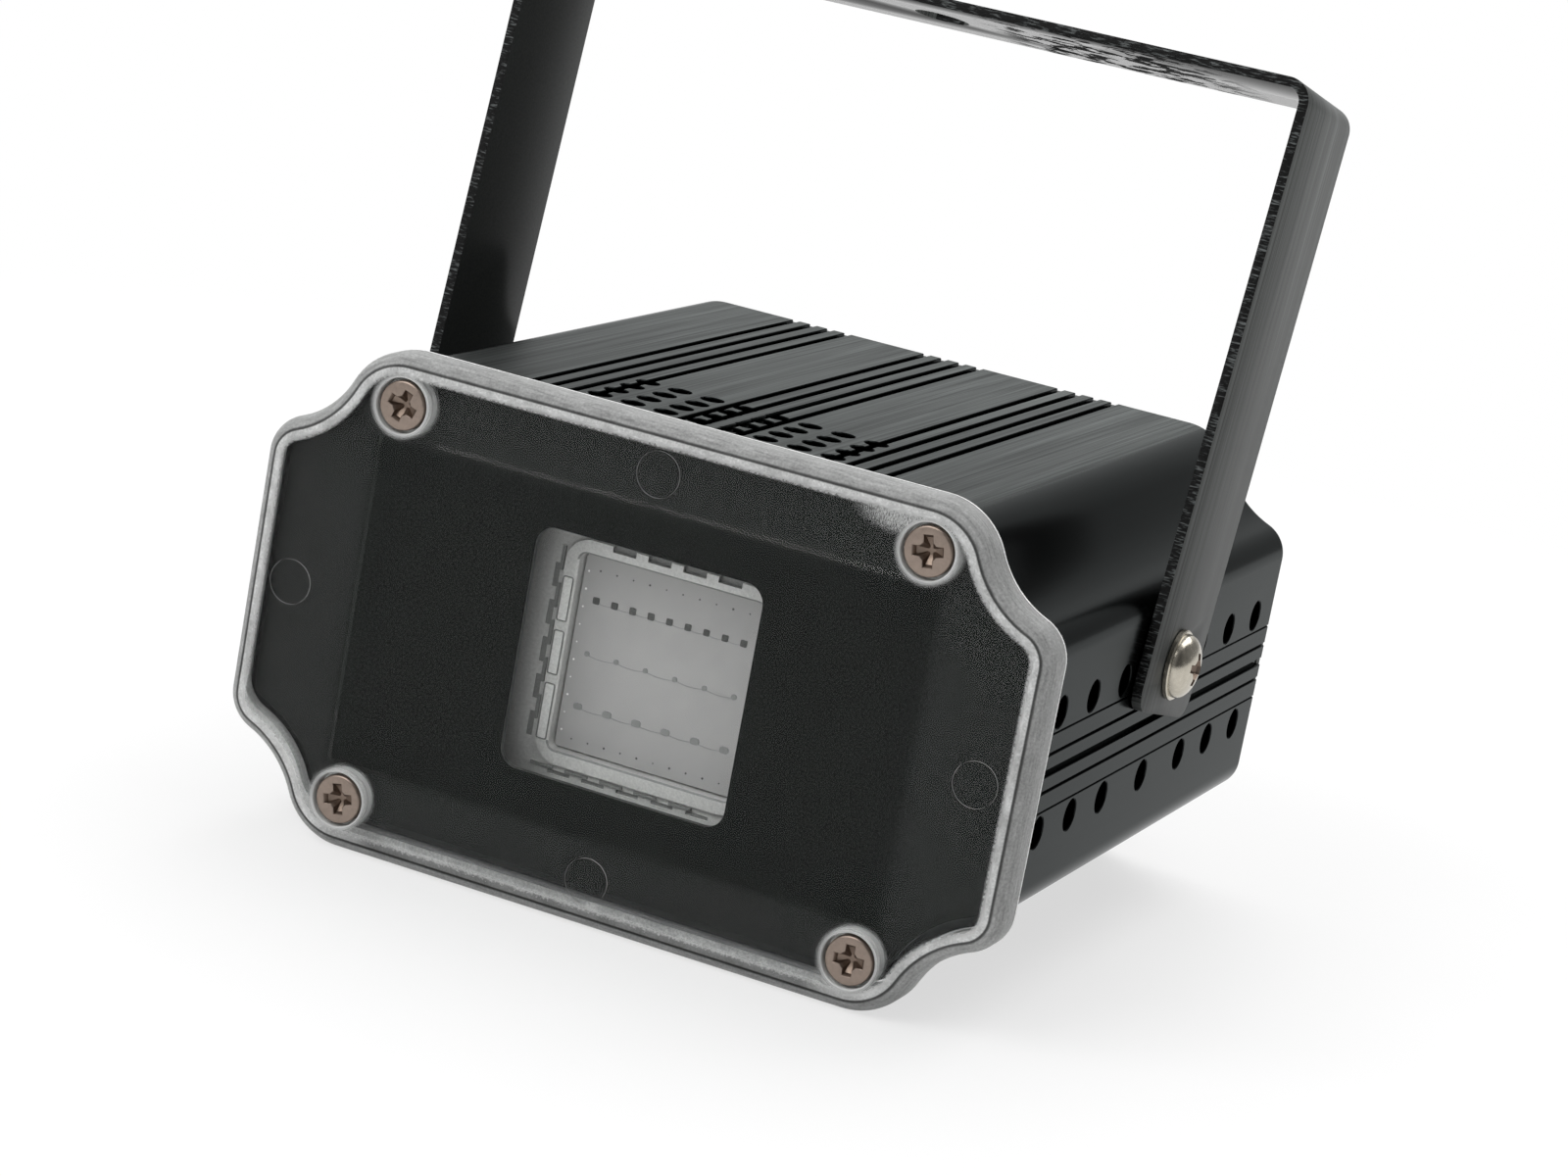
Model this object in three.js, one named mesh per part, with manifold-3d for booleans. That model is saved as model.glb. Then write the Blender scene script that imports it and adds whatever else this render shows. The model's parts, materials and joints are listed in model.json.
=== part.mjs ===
// A small strobe light: an extruded aluminium housing with a clear moulded front cover,
// a square multi-colour light module behind a black mask, and a swinging strap bracket.
// Millimetres. X is to the right seen from the front, Y runs to the rear, Z is up.
// The origin is under the middle of the whole light, level with the lowest edge of its cover.
// The sizes below are worked out about the middle of the housing's bottom face, and the last
// lines of the file move the light to its origin.
import * as THREE from 'three';
import { mergeVertices } from 'three/addons/utils/BufferGeometryUtils.js';
import Module from 'manifold-3d';

const wasm = await Module();
wasm.setup();

// Running clearances, and how far a cutter reaches past what it cuts
const seatGap = 0.1;
const turnGap = 0.3;
const overrun = 1;

// Housing: two extruded half shells that lap where they meet, at the middle of each side
const housingWidth = 99.6;
const housingHeight = 56.5;
const housingLength = 86.6;
const wallThickness = 1.8;
const shoulderRadius = 7;
const shoulderInset = 16;
const cheekRadius = 4.2;
const cheekDrop = 14.35;
const hollowRadius = 13;
const lapThickness = 0.5;
const lapHeight = 1.2;

// Long grooves in the extrusion: groups on the top and bottom, lines on the sides
const grooveGroupPitch = 19.4;
const groovePitch = 2.56;
const groovesInGroup = 4;
const grooveGroups = 3;
const grooveWidth = 0.95;
const grooveDepth = 0.8;
const sideGrooveWidth = 0.9;
const sideGrooveDepth = 0.7;
const sideLineWidth = 0.35;
const sideLineDepth = 0.4;
const sideLineRise = 2.35;
const outerLineRise = 4.85;

// Air holes: a grid in the top and two rows in each side
const topVentColumns = 8;
const topVentRows = 4;
const topVentPitch = 4.38;
const topVentRadius = 1.45;
const topVentFromFront = 10.6;
const sideVentRadius = 1.97;
const sideVentRise = 7.3;
const sideVentNear = 14.3;
const sideVentFromEnd = 7.2;
const sideVentsPerQuarter = 3;
const ventSides = 10;

// Screw ports in the corners, and rails for the circuit board
const portFromSide = 15.8;
const portFromTop = 3.75;
const portRadius = 3.2;
const portBoreRadius = 1.25;
const railDepth = 2.4;
const railThickness = 1.2;
const boardThickness = 1.6;
const boardDrop = 12.05;

// Clear front cover, which sits a little low on the housing
const coverDrop = 0.8;
const coverSideLip = 1.4;
const coverTopLip = 2.45;
const coverPlate = 2.4;
const coverDepth = 4.8;
const coverFillet = 2.2;
const coverShoulderRadius = 8.4;
const coverCheekRadius = 5.2;
const coverCheekDrop = 15.9;
const coverHollowRadius = 12;
const coverFit = 0.35;
const counterboreRadius = 3.6;
const counterboreDepth = 1.85;
const screwHoleRadius = 1.6;
const pocketSideBorder = 14.6;
const pocketTopBorder = 10.5;
const pocketDepth = 0.3;
const ejectorRadius = 2.75;
const ejectorDepth = 0.15;
const ejectorFromSide = 6.3;
const ejectorFromTop = 5.9;

// Black mask with its window
const maskThickness = 0.8;
const maskInset = 1.6;
const windowMargin = 2.8;
const windowCorner = 2.4;

// Screws of the cover and of the rear panel
const screwRadius = 1.2;
const screwLength = 9;
const screwHeadRadius = 3;
const screwHeadHeight = 1.6;
const screwHeadRounding = 0.3;
const crossLength = 3.6;
const crossWidth = 0.95;
const crossDepth = 0.9;

// Light module: base plate, moulded frame, gel pad, contact tabs
const moduleDrop = 1.3;
const moduleDepth = 8.9;
const padSize = 24;
const padCorner = 0.6;
const padThickness = 1.1;
const frameWall = 7;
const frameCorner = 1.5;
const frameRim = 1.5;
const frameGroove = 1.4;
const frameGrooveDepth = 0.45;
const frameSlope = 0.9;
const notchCount = 3;
const notchLength = 5.6;
const notchPitch = 7.2;
const notchWidth = 1.3;
const notchDepth = 0.5;
const moduleBaseFromTop = 6.25;
const moduleBaseThickness = 2;
const moduleScrewGap = 0.4;
const moduleScrewFromEdge = 3.5;
const moduleScrewHole = 1.7;
const moduleScrewReach = 3;
const tabLength = 4;
const tabHeight = 6;
const tabThickness = 0.4;
const tabOverlap = 1.5;

// Heat sink behind the module
const sinkPlate = 3.5;
const sinkFins = 11;
const finInset = 1.8;
const finThickness = 1.4;
const finLength = 14;
const finFromTop = 8.25;

// Circuit board and what stands on it
const boardFinGap = 4.5;
const boardEndGap = 2.2;
const capacitorRadius = 5;
const capacitorHeight = 13;
const capacitorBevel = 0.8;
const capacitorX = -26;
const capacitorPitch = 13;
const capacitors = 2;
const capacitorFromRear = 22;
const chokeRadius = 6;
const chokeBore = 2.6;
const chokeHeight = 5.5;
const chokeX = 6;
const chokeFromRear = 17;
const transistorWidth = 10;
const transistorDepth = 4.4;
const transistorHeight = 15;
const transistorPitch = 13.5;
const transistorFromFront = 6;
const chipLength = 10;
const chipWidth = 5.4;
const chipHeight = 1.6;
const chipX = 24;
const chipFromFront = 22;

// Rear panel and its two controls
const panelThickness = 1.5;
const panelInset = 0.6;
const controlX = 24;
const jackRadius = 4;
const jackBore = 2.75;
const jackLength = 13;
const jackFloor = 2;
const jackFlangeRadius = 5.4;
const jackFlange = 1.4;
const jackPinRadius = 1.05;
const jackPinRecess = 1.2;
const potRadius = 8;
const potDepth = 7;
const potNeck = 1.2;
const bushRadius = 3.5;
const bushLength = 5.6;
const shaftRadius = 3;
const shaftLength = 17;
const shaftDepth = 3;
const nutThickness = 2;
const nutAcrossCorners = 12;
const jackNutAcrossCorners = 11.6;
const knobRadius = 7.4;
const knobTopRadius = 6.6;
const knobLength = 11;
const knobCap = 2.2;
const knobRounding = 0.8;
const knobLift = 0.6;
const knobFlutes = 14;
const fluteRadius = 1.1;
const fluteBite = 0.45;
const pointerWidth = 1;
const pointerDepth = 0.4;

// Strap bracket and its pivots
const bracketTilt = 12.8;
const strapWidth = 21;
const strapThickness = 1.2;
const armGap = 0.2;
const bracketRise = 71.05;
const armBelowPivot = 6.4;
const armEndRadius = 3;
const leanStart = 8;
const leanLeft = 2;
const leanRight = 0.5;
const bendRadius = 3;
const bracketBoltRadius = 3.5;
const pivotRadius = 2;
const pivotHole = 2.15;
const pivotHeadRadius = 4.4;
const pivotHeadHeight = 2.9;
const pivotWasher = 0.7;
const pivotDomeRadius = 4;
const pivotCrossLength = 4.4;
const pivotCrossWidth = 1.1;
const pivotCrossDepth = 1.6;
const pivotLength = 10;
const pivotNutAcross = 8.1;
const pivotNutThickness = 3.2;

// Facets
const roundSides = 16;
const smallSides = 12;
const arcSteps = 5;
const hexSides = 6;
const mergeTolerance = 1e-4;

// Places worked out from the sizes
const shoulderX = housingWidth / 2 - shoulderInset;
const portX = housingWidth / 2 - portFromSide;
const portRise = housingHeight / 2 - portFromTop;
const housingFront = -housingLength / 2;
const housingRear = housingLength / 2;
const axisZ = housingHeight / 2;
const coverZ = axisZ - coverDrop;
const coverWidth = housingWidth + 2 * coverSideLip;
const coverHeight = housingHeight + 2 * coverTopLip;
const pocketWidth = coverWidth - 2 * pocketSideBorder;
const pocketHeight = coverHeight - 2 * pocketTopBorder;
const ejectorX = coverWidth / 2 - ejectorFromSide;
const ejectorRise = coverHeight / 2 - ejectorFromTop;
const maskFront = housingFront - seatGap - maskThickness;
const coverRear = maskFront - seatGap;
const coverFront = coverRear - coverPlate;
const moduleZ = coverZ - moduleDrop;
const padFront = coverRear + moduleDepth;
const windowSize = padSize + 2 * windowMargin;
const frameSize = padSize + 2 * frameWall;
const moduleScrewX = frameSize / 2 + moduleScrewGap + screwHeadRadius;
const moduleBaseWidth = 2 * (moduleScrewX + moduleScrewFromEdge);
const moduleBaseHeight = housingHeight - 2 * moduleBaseFromTop;
const moduleScrewRise = moduleBaseHeight / 2 - moduleScrewFromEdge;
const frameFront = padFront - frameRim;
const baseFront = padFront + padThickness + seatGap;
const sinkFront = baseFront + moduleBaseThickness + seatGap;
const sinkRear = sinkFront + sinkPlate;
const boardRise = axisZ - boardDrop;
const boardTop = boardRise + boardThickness;
const boardRear = housingRear - boardEndGap;
const boardFront = sinkRear + finLength + boardFinGap;
const boardLength = boardRear - boardFront;
const panelFront = housingRear + seatGap;
const panelRear = panelFront + panelThickness;
const sideVentPitch = (housingLength / 2 - sideVentFromEnd - sideVentNear) / (sideVentsPerQuarter - 1);
const pivotZ = axisZ + sideVentRise;
const bushEnd = panelRear + bushLength;
const knobFront = bushEnd + knobLift;
const knobRear = knobFront + knobLength;
const innerWallX = housingWidth / 2 - wallThickness;
const portPlaces = [[-1, 1], [1, 1], [-1, -1], [1, -1]];

// Materials
function finish(color, roughness, metalness, opacity = 1) {
  return new THREE.MeshStandardMaterial({ color, roughness, metalness, opacity, transparent: opacity < 1 });
}
const blackAnodised = finish('#2a2c2c', 0.4, 0.8);
const clearPlastic = finish('#c9cccb', 0.08, 0, 0.4);
const blackSheet = finish('#17191a', 0.5, 0);
const nickel = finish('#9a8f82', 0.3, 1);
const whiteMoulding = finish('#c4c6c4', 0.45, 0);
const gelPad = finish('#9c9e9d', 0.35, 0);
const copper = finish('#b98a5f', 0.35, 1);
const bareAluminium = finish('#a9acae', 0.45, 1);
const boardGreen = finish('#1d4a30', 0.5, 0);
const blackPlastic = finish('#151617', 0.45, 0);
const sleeveBlack = finish('#1c2230', 0.4, 0);
const ferrite = finish('#3b3c3e', 0.6, 0.2);
const blackPaint = finish('#1d1f20', 0.35, 0.5);

// Geometry helpers: a closed mesh becomes a solid, and a solid becomes a named mesh
function solid(geometry) {
  const plain = geometry.clone();
  plain.deleteAttribute('normal');
  plain.deleteAttribute('uv');
  const merged = mergeVertices(plain, mergeTolerance);
  return new wasm.Manifold(new wasm.Mesh({
    numProp: 3,
    vertProperties: new Float32Array(merged.attributes.position.array),
    triVerts: new Uint32Array(merged.index.array),
  }));
}

const part = new THREE.Group();

function piece(name, body, material, parent = part) {
  const found = body.getMesh();
  const geometry = new THREE.BufferGeometry();
  geometry.setAttribute('position', new THREE.BufferAttribute(new Float32Array(found.vertProperties), 3));
  geometry.setIndex(new THREE.BufferAttribute(new Uint32Array(found.triVerts), 1));
  geometry.computeVertexNormals();
  const mesh = new THREE.Mesh(geometry, material);
  mesh.name = name;
  parent.add(mesh);
  return mesh;
}

function joined(bodies) {
  return bodies.reduce((sum, body) => sum.add(body));
}

// A shape drawn in X and Z, run along Y from one place to another
function runY(shape, fromY, toY, curveSteps = arcSteps) {
  const geometry = new THREE.ExtrudeGeometry(shape, {
    depth: toY - fromY, bevelEnabled: false, curveSegments: curveSteps,
  });
  geometry.rotateX(Math.PI / 2);
  geometry.translate(0, toY, 0);
  return solid(geometry);
}

function block(width, length, height, x, y, z) {
  const geometry = new THREE.BoxGeometry(width, length, height);
  geometry.translate(x, y, z);
  return solid(geometry);
}

// A turned piece: the profile is [radius, distance] pairs along the chosen axis
function turned(profile, axis, sides = roundSides) {
  const points = profile.map(([radius, along]) => new THREE.Vector2(radius, along));
  const geometry = new THREE.LatheGeometry(points, sides);
  if (axis === 'x') geometry.rotateZ(-Math.PI / 2);
  if (axis === 'z') geometry.rotateX(Math.PI / 2);
  return solid(geometry);
}

function rod(radius, fromAlong, toAlong, axis, sides = roundSides) {
  return turned([[0, fromAlong], [radius, fromAlong], [radius, toAlong], [0, toAlong]], axis, sides);
}

function arc(centre, radius, from, to, steps = arcSteps) {
  const points = [];
  for (let step = 0; step <= steps; step += 1) {
    const angle = from + (to - from) * step / steps;
    points.push(new THREE.Vector2(
      centre.x + radius * Math.cos(angle),
      centre.y + radius * Math.sin(angle),
    ));
  }
  return points;
}

// The ogee outline: a cheek lobe at each side, a shoulder lobe above and below,
// and a hollow that runs into both. A positive growth sets the whole outline outwards.
function ogeeOutline(form, growth = 0) {
  const cheek = new THREE.Vector2(form.width / 2 - form.cheekRadius, form.cheekRise);
  const shoulder = new THREE.Vector2(form.shoulderX, form.height / 2 - form.shoulderRadius);
  const toCheek = form.cheekRadius + form.hollowRadius;
  const toShoulder = form.shoulderRadius + form.hollowRadius;
  const span = cheek.clone().sub(shoulder);
  const distance = span.length();
  const along = (toShoulder ** 2 - toCheek ** 2 + distance ** 2) / (2 * distance);
  const away = Math.sqrt(toShoulder ** 2 - along ** 2);
  const unit = span.clone().divideScalar(distance);
  const outward = new THREE.Vector2(-unit.y, unit.x);
  const hollow = shoulder.clone().addScaledVector(unit, along).addScaledVector(outward, away);
  const cheekEnd = hollow.clone().sub(cheek).angle();
  const shoulderStart = hollow.clone().sub(shoulder).angle();
  const quarter = [
    ...arc(cheek, form.cheekRadius + growth, 0, cheekEnd),
    ...arc(hollow, form.hollowRadius - growth, cheekEnd + Math.PI, shoulderStart + Math.PI).slice(1, -1),
    ...arc(shoulder, form.shoulderRadius + growth, shoulderStart, Math.PI / 2),
  ];
  const upperLeft = quarter.map((point) => new THREE.Vector2(-point.x, point.y)).reverse();
  const upper = [...quarter, ...upperLeft];
  const lower = upper.map((point) => new THREE.Vector2(-point.x, -point.y));
  return [...upper, ...lower];
}

function ogeeShape(form, centreZ, growth = 0) {
  const points = ogeeOutline(form, growth);
  return new THREE.Shape(points.map((point) => new THREE.Vector2(point.x, point.y + centreZ)));
}

function roundedRectangle(width, height, corner, centreX = 0, centreZ = 0) {
  const x = width / 2 - corner;
  const z = height / 2 - corner;
  const places = [[x, z, 0], [-x, z, 1], [-x, -z, 2], [x, -z, 3]];
  const points = places.flatMap(([cx, cz, turn]) => {
    const centre = new THREE.Vector2(cx + centreX, cz + centreZ);
    return arc(centre, corner, turn * Math.PI / 2, (turn + 1) * Math.PI / 2, arcSteps);
  });
  return new THREE.Shape(points);
}

const housingForm = {
  width: housingWidth,
  height: housingHeight,
  shoulderX,
  shoulderRadius,
  cheekRadius,
  cheekRise: housingHeight / 2 - cheekDrop,
  hollowRadius,
};
const coverForm = {
  width: coverWidth,
  height: coverHeight,
  shoulderX,
  shoulderRadius: coverShoulderRadius,
  cheekRadius: coverCheekRadius,
  cheekRise: coverHeight / 2 - coverCheekDrop,
  hollowRadius: coverHollowRadius,
};

// Cutters for the long grooves on the four sides of the extrusion
function grooveCutters() {
  const length = housingLength + 2 * overrun;
  const cutters = [];
  for (let group = 0; group < grooveGroups; group += 1) {
    for (let index = 0; index < groovesInGroup; index += 1) {
      const x = (group - (grooveGroups - 1) / 2) * grooveGroupPitch
        + (index - (groovesInGroup - 1) / 2) * groovePitch;
      const height = grooveDepth + overrun;
      cutters.push(block(grooveWidth, length, height, x, 0, housingHeight - grooveDepth + height / 2));
      cutters.push(block(grooveWidth, length, height, x, 0, grooveDepth - height / 2));
    }
  }
  const lines = [
    [0, sideGrooveWidth, sideGrooveDepth],
    [sideLineRise, sideLineWidth, sideLineDepth],
    [-sideLineRise, sideLineWidth, sideLineDepth],
    [outerLineRise, sideLineWidth, sideLineDepth],
    [-outerLineRise, sideLineWidth, sideLineDepth],
  ];
  for (const [rise, width, depth] of lines) {
    for (const side of [-1, 1]) {
      const x = side * (housingWidth / 2 - depth + (depth + overrun) / 2);
      cutters.push(block(depth + overrun, length, width, x, 0, axisZ + rise));
    }
  }
  return cutters;
}

function sideVentPlaces() {
  const half = [];
  for (let index = 0; index < sideVentsPerQuarter; index += 1) half.push(sideVentNear + index * sideVentPitch);
  return [0, ...half, ...half.map((y) => -y)];
}

// Cutters for the air holes, and for the two pivot holes in the upper rows
function ventCutters() {
  const cutters = [];
  for (let column = 0; column < topVentColumns; column += 1) {
    for (let row = 0; row < topVentRows; row += 1) {
      const x = (column - (topVentColumns - 1) / 2) * topVentPitch;
      const y = housingFront + topVentFromFront + row * topVentPitch;
      const cutter = rod(topVentRadius, housingHeight - wallThickness - overrun, housingHeight + overrun,
        'z', ventSides);
      cutters.push(cutter.translate([x, y, 0]));
    }
  }
  for (const y of sideVentPlaces()) {
    for (const rise of [sideVentRise, -sideVentRise]) {
      const isPivot = y === 0 && rise > 0;
      const radius = isPivot ? pivotHole : sideVentRadius;
      for (const side of [-1, 1]) {
        const from = side > 0 ? innerWallX - overrun : -housingWidth / 2 - overrun;
        const to = side > 0 ? housingWidth / 2 + overrun : -innerWallX + overrun;
        cutters.push(rod(radius, from, to, 'x', ventSides).translate([0, y, axisZ + rise]));
      }
    }
  }
  return cutters;
}

function boardRails() {
  const rails = [];
  const slot = boardThickness + 2 * turnGap;
  const slotMiddle = boardRise + boardThickness / 2;
  const width = railDepth + wallThickness / 2;
  for (const side of [-1, 1]) {
    for (const above of [-1, 1]) {
      const x = side * (innerWallX - railDepth + width / 2);
      const z = slotMiddle + above * (slot + railThickness) / 2;
      rails.push(block(width, housingLength, railThickness, x, 0, z));
    }
  }
  return rails;
}

// All that lies below the seam between the half shells, with the lower shell's two laps
// standing inside the upper shell's walls. A clearance grows it upwards and outwards.
function belowSeam(clearance) {
  const length = housingLength + 2 * overrun;
  const depth = axisZ + overrun;
  const below = block(housingWidth + 2 * overrun, length, depth, 0, 0, axisZ + clearance - depth / 2);
  const height = lapHeight + clearance + overrun;
  const width = 2 * (innerWallX + lapThickness + clearance);
  const laps = block(width, length, height, 0, 0, axisZ + lapHeight + clearance - height / 2);
  return below.add(laps);
}

function makeHousing() {
  const outer = runY(ogeeShape(housingForm, axisZ), housingFront, housingRear);
  const cavity = runY(ogeeShape(housingForm, axisZ, -wallThickness),
    housingFront - overrun, housingRear + overrun);
  const ports = portPlaces.map(([sideX, sideZ]) => rod(portRadius, housingFront, housingRear, 'y')
    .translate([sideX * portX, 0, coverZ + sideZ * portRise]).intersect(outer));
  const bores = portPlaces.map(([sideX, sideZ]) => rod(portBoreRadius, housingFront - overrun,
    housingRear + overrun, 'y', smallSides).translate([sideX * portX, 0, coverZ + sideZ * portRise]));
  const shell = outer.subtract(cavity).add(joined(ports)).add(joined(boardRails()));
  const whole = shell.subtract(joined([...grooveCutters(), ...ventCutters(), ...bores]));
  piece('housing_upper', whole.subtract(belowSeam(seatGap)), blackAnodised);
  piece('housing_lower', whole.intersect(belowSeam(0)), blackAnodised);
}

// The cover: a plate with a rounded front edge and a shallow rim round the housing's end,
// clear all through, with a polished pocket behind the window and marks of the ejector pins
function makeCover() {
  const bevelled = new THREE.ExtrudeGeometry(ogeeShape(coverForm, coverZ), {
    depth: coverDepth,
    bevelEnabled: true,
    bevelThickness: coverFillet,
    bevelSize: coverFillet,
    bevelOffset: -coverFillet,
    bevelSegments: arcSteps,
  });
  bevelled.rotateX(Math.PI / 2);
  bevelled.translate(0, coverFront + coverFillet + coverDepth, 0);
  const rimEnd = coverFront + coverDepth;
  const tail = block(2 * coverWidth, 2 * coverDepth, 2 * coverHeight, 0, rimEnd + coverDepth, coverZ);
  const well = runY(ogeeShape(housingForm, axisZ, coverFit), coverRear, rimEnd + overrun);
  const cutters = [tail, well];
  for (const [sideX, sideZ] of portPlaces) {
    const place = [sideX * portX, 0, coverZ + sideZ * portRise];
    const bore = rod(screwHoleRadius, coverFront - overrun, coverRear + overrun, 'y', smallSides);
    const seat = rod(counterboreRadius, coverFront - overrun, coverFront + counterboreDepth, 'y');
    cutters.push(bore.translate(place), seat.translate(place));
  }
  cutters.push(block(pocketWidth, 2 * pocketDepth, pocketHeight, 0, coverRear, coverZ));
  for (const [x, rise] of [[-ejectorX, 0], [ejectorX, 0], [0, ejectorRise], [0, -ejectorRise]]) {
    const mark = rod(ejectorRadius, coverFront - overrun, coverFront + ejectorDepth, 'y');
    cutters.push(mark.translate([x, 0, coverZ + rise]));
  }
  piece('front_cover', solid(bevelled).subtract(joined(cutters)), clearPlastic);
}

function makeMask() {
  const maskRear = maskFront + maskThickness;
  const sheet = runY(ogeeShape(housingForm, axisZ, coverFit - maskInset), maskFront, maskRear);
  const window = runY(roundedRectangle(windowSize, windowSize, windowCorner, 0, coverZ),
    maskFront - overrun, maskRear + overrun);
  const bores = portPlaces.map(([sideX, sideZ]) => rod(screwHoleRadius, maskFront - overrun,
    maskRear + overrun, 'y', smallSides).translate([sideX * portX, 0, coverZ + sideZ * portRise]));
  piece('front_mask', sheet.subtract(joined([window, ...bores])), blackSheet);
}

// A cross-head screw along Y, its head's underside at zero and its shank towards +Y
function panScrew(length) {
  const top = -screwHeadHeight;
  const body = turned([
    [0, top],
    [screwHeadRadius - screwHeadRounding, top],
    [screwHeadRadius, top + screwHeadRounding],
    [screwHeadRadius, 0],
    [screwRadius, 0],
    [screwRadius, length],
    [0, length],
  ], 'y', roundSides);
  const depth = 2 * crossDepth;
  const across = block(crossLength, depth, crossWidth, 0, top, 0);
  const upright = block(crossWidth, depth, crossLength, 0, top, 0);
  return body.subtract(across.add(upright));
}

function makeCoverScrews() {
  portPlaces.forEach(([sideX, sideZ], index) => {
    const seat = coverFront + counterboreDepth - seatGap;
    const screw = panScrew(screwLength).translate([sideX * portX, seat, coverZ + sideZ * portRise]);
    piece(`cover_screw_${index + 1}`, screw, nickel);
  });
}

// The light module's frame: a moulded ring with a sloping inner wall, a groove round
// the pad and shallow notches over the contact strips
function makeModule() {
  const frameRear = baseFront - seatGap;
  const outer = runY(roundedRectangle(frameSize, frameSize, frameCorner, 0, moduleZ), frameFront, frameRear);
  const inner = runY(roundedRectangle(padSize + 2 * turnGap, padSize + 2 * turnGap, padCorner + turnGap,
    0, moduleZ), frameFront - overrun, frameRear + overrun);
  const moatSize = padSize + 2 * turnGap + 2 * frameGroove;
  const moat = runY(roundedRectangle(moatSize, moatSize, padCorner + frameGroove, 0, moduleZ),
    frameFront - overrun, padFront - frameRim + frameGrooveDepth);
  const slopeSize = moatSize - 2 * frameSlope;
  const step = runY(roundedRectangle(slopeSize, slopeSize, padCorner, 0, moduleZ),
    frameFront - overrun, padFront - frameRim + 2 * frameGrooveDepth);
  const cutters = [inner, moat, step];
  const notchReach = moatSize / 2 + notchWidth / 2 + frameGroove / 2;
  for (let index = 0; index < notchCount; index += 1) {
    const rise = (index - (notchCount - 1) / 2) * notchPitch;
    for (const side of [-1, 1]) {
      cutters.push(block(notchWidth, 2 * notchDepth, notchLength, side * notchReach, frameFront,
        moduleZ + rise));
    }
  }
  piece('led_frame', outer.subtract(joined(cutters)), whiteMoulding);

  const pad = runY(roundedRectangle(padSize, padSize, padCorner, 0, moduleZ), padFront, baseFront - seatGap);
  piece('led_pad', pad, gelPad);

  const screwPlaces = portPlaces.map(([sideX, sideZ]) => [sideX * moduleScrewX, 0,
    moduleZ + sideZ * moduleScrewRise]);
  const plate = block(moduleBaseWidth, moduleBaseThickness, moduleBaseHeight, 0,
    baseFront + moduleBaseThickness / 2, moduleZ);
  const holes = screwPlaces.map((place) => rod(moduleScrewHole, baseFront - overrun,
    baseFront + moduleBaseThickness + overrun, 'y', smallSides).translate(place));
  piece('led_base', plate.subtract(joined(holes)), copper);
  screwPlaces.forEach((place, index) => {
    const screw = panScrew(moduleBaseThickness + moduleScrewReach);
    piece(`led_screw_${index + 1}`, screw.translate([place[0], baseFront - seatGap, place[2]]), nickel);
  });
  for (const [name, side] of [['left', -1], ['right', 1]]) {
    const x = side * (frameSize / 2 + turnGap + tabLength / 2);
    const tab = block(tabLength, tabThickness, tabHeight, x, baseFront - seatGap - tabThickness / 2, moduleZ);
    piece(`led_tab_${name}`, tab, copper);
  }
}

// The heat sink fills the housing's bore as a plate, with upright fins behind it
function makeHeatSink() {
  const plate = runY(ogeeShape(housingForm, axisZ, -wallThickness - turnGap), sinkFront, sinkRear);
  const finFrom = sinkRear - overrun;
  const length = finLength + overrun;
  const fins = [];
  const finPitch = 2 * (shoulderX - finInset) / (sinkFins - 1);
  const finHeight = housingHeight - 2 * finFromTop;
  for (let index = 0; index < sinkFins; index += 1) {
    const x = (index - (sinkFins - 1) / 2) * finPitch;
    fins.push(block(finThickness, length, finHeight, x, finFrom + length / 2, axisZ));
  }
  const portCuts = portPlaces.map(([sideX, sideZ]) => rod(portRadius + turnGap, sinkFront - overrun,
    sinkRear + overrun, 'y').translate([sideX * portX, 0, coverZ + sideZ * portRise]));
  const railSpace = 2 * (railThickness + 2 * turnGap) + boardThickness;
  const railCuts = [-1, 1].map((side) => block(railDepth + turnGap + wallThickness, sinkPlate + 2 * overrun,
    railSpace, side * (innerWallX - (railDepth + turnGap - wallThickness) / 2), sinkFront + sinkPlate / 2,
    boardRise + boardThickness / 2));
  const screwCuts = portPlaces.map(([sideX, sideZ]) => rod(portBoreRadius, sinkFront - overrun,
    sinkRear + overrun, 'y', smallSides).translate([sideX * moduleScrewX, 0,
    moduleZ + sideZ * moduleScrewRise]));
  const cutters = joined([...portCuts, ...railCuts, ...screwCuts]);
  piece('heat_sink', plate.subtract(cutters).add(joined(fins)), bareAluminium);
}

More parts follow.
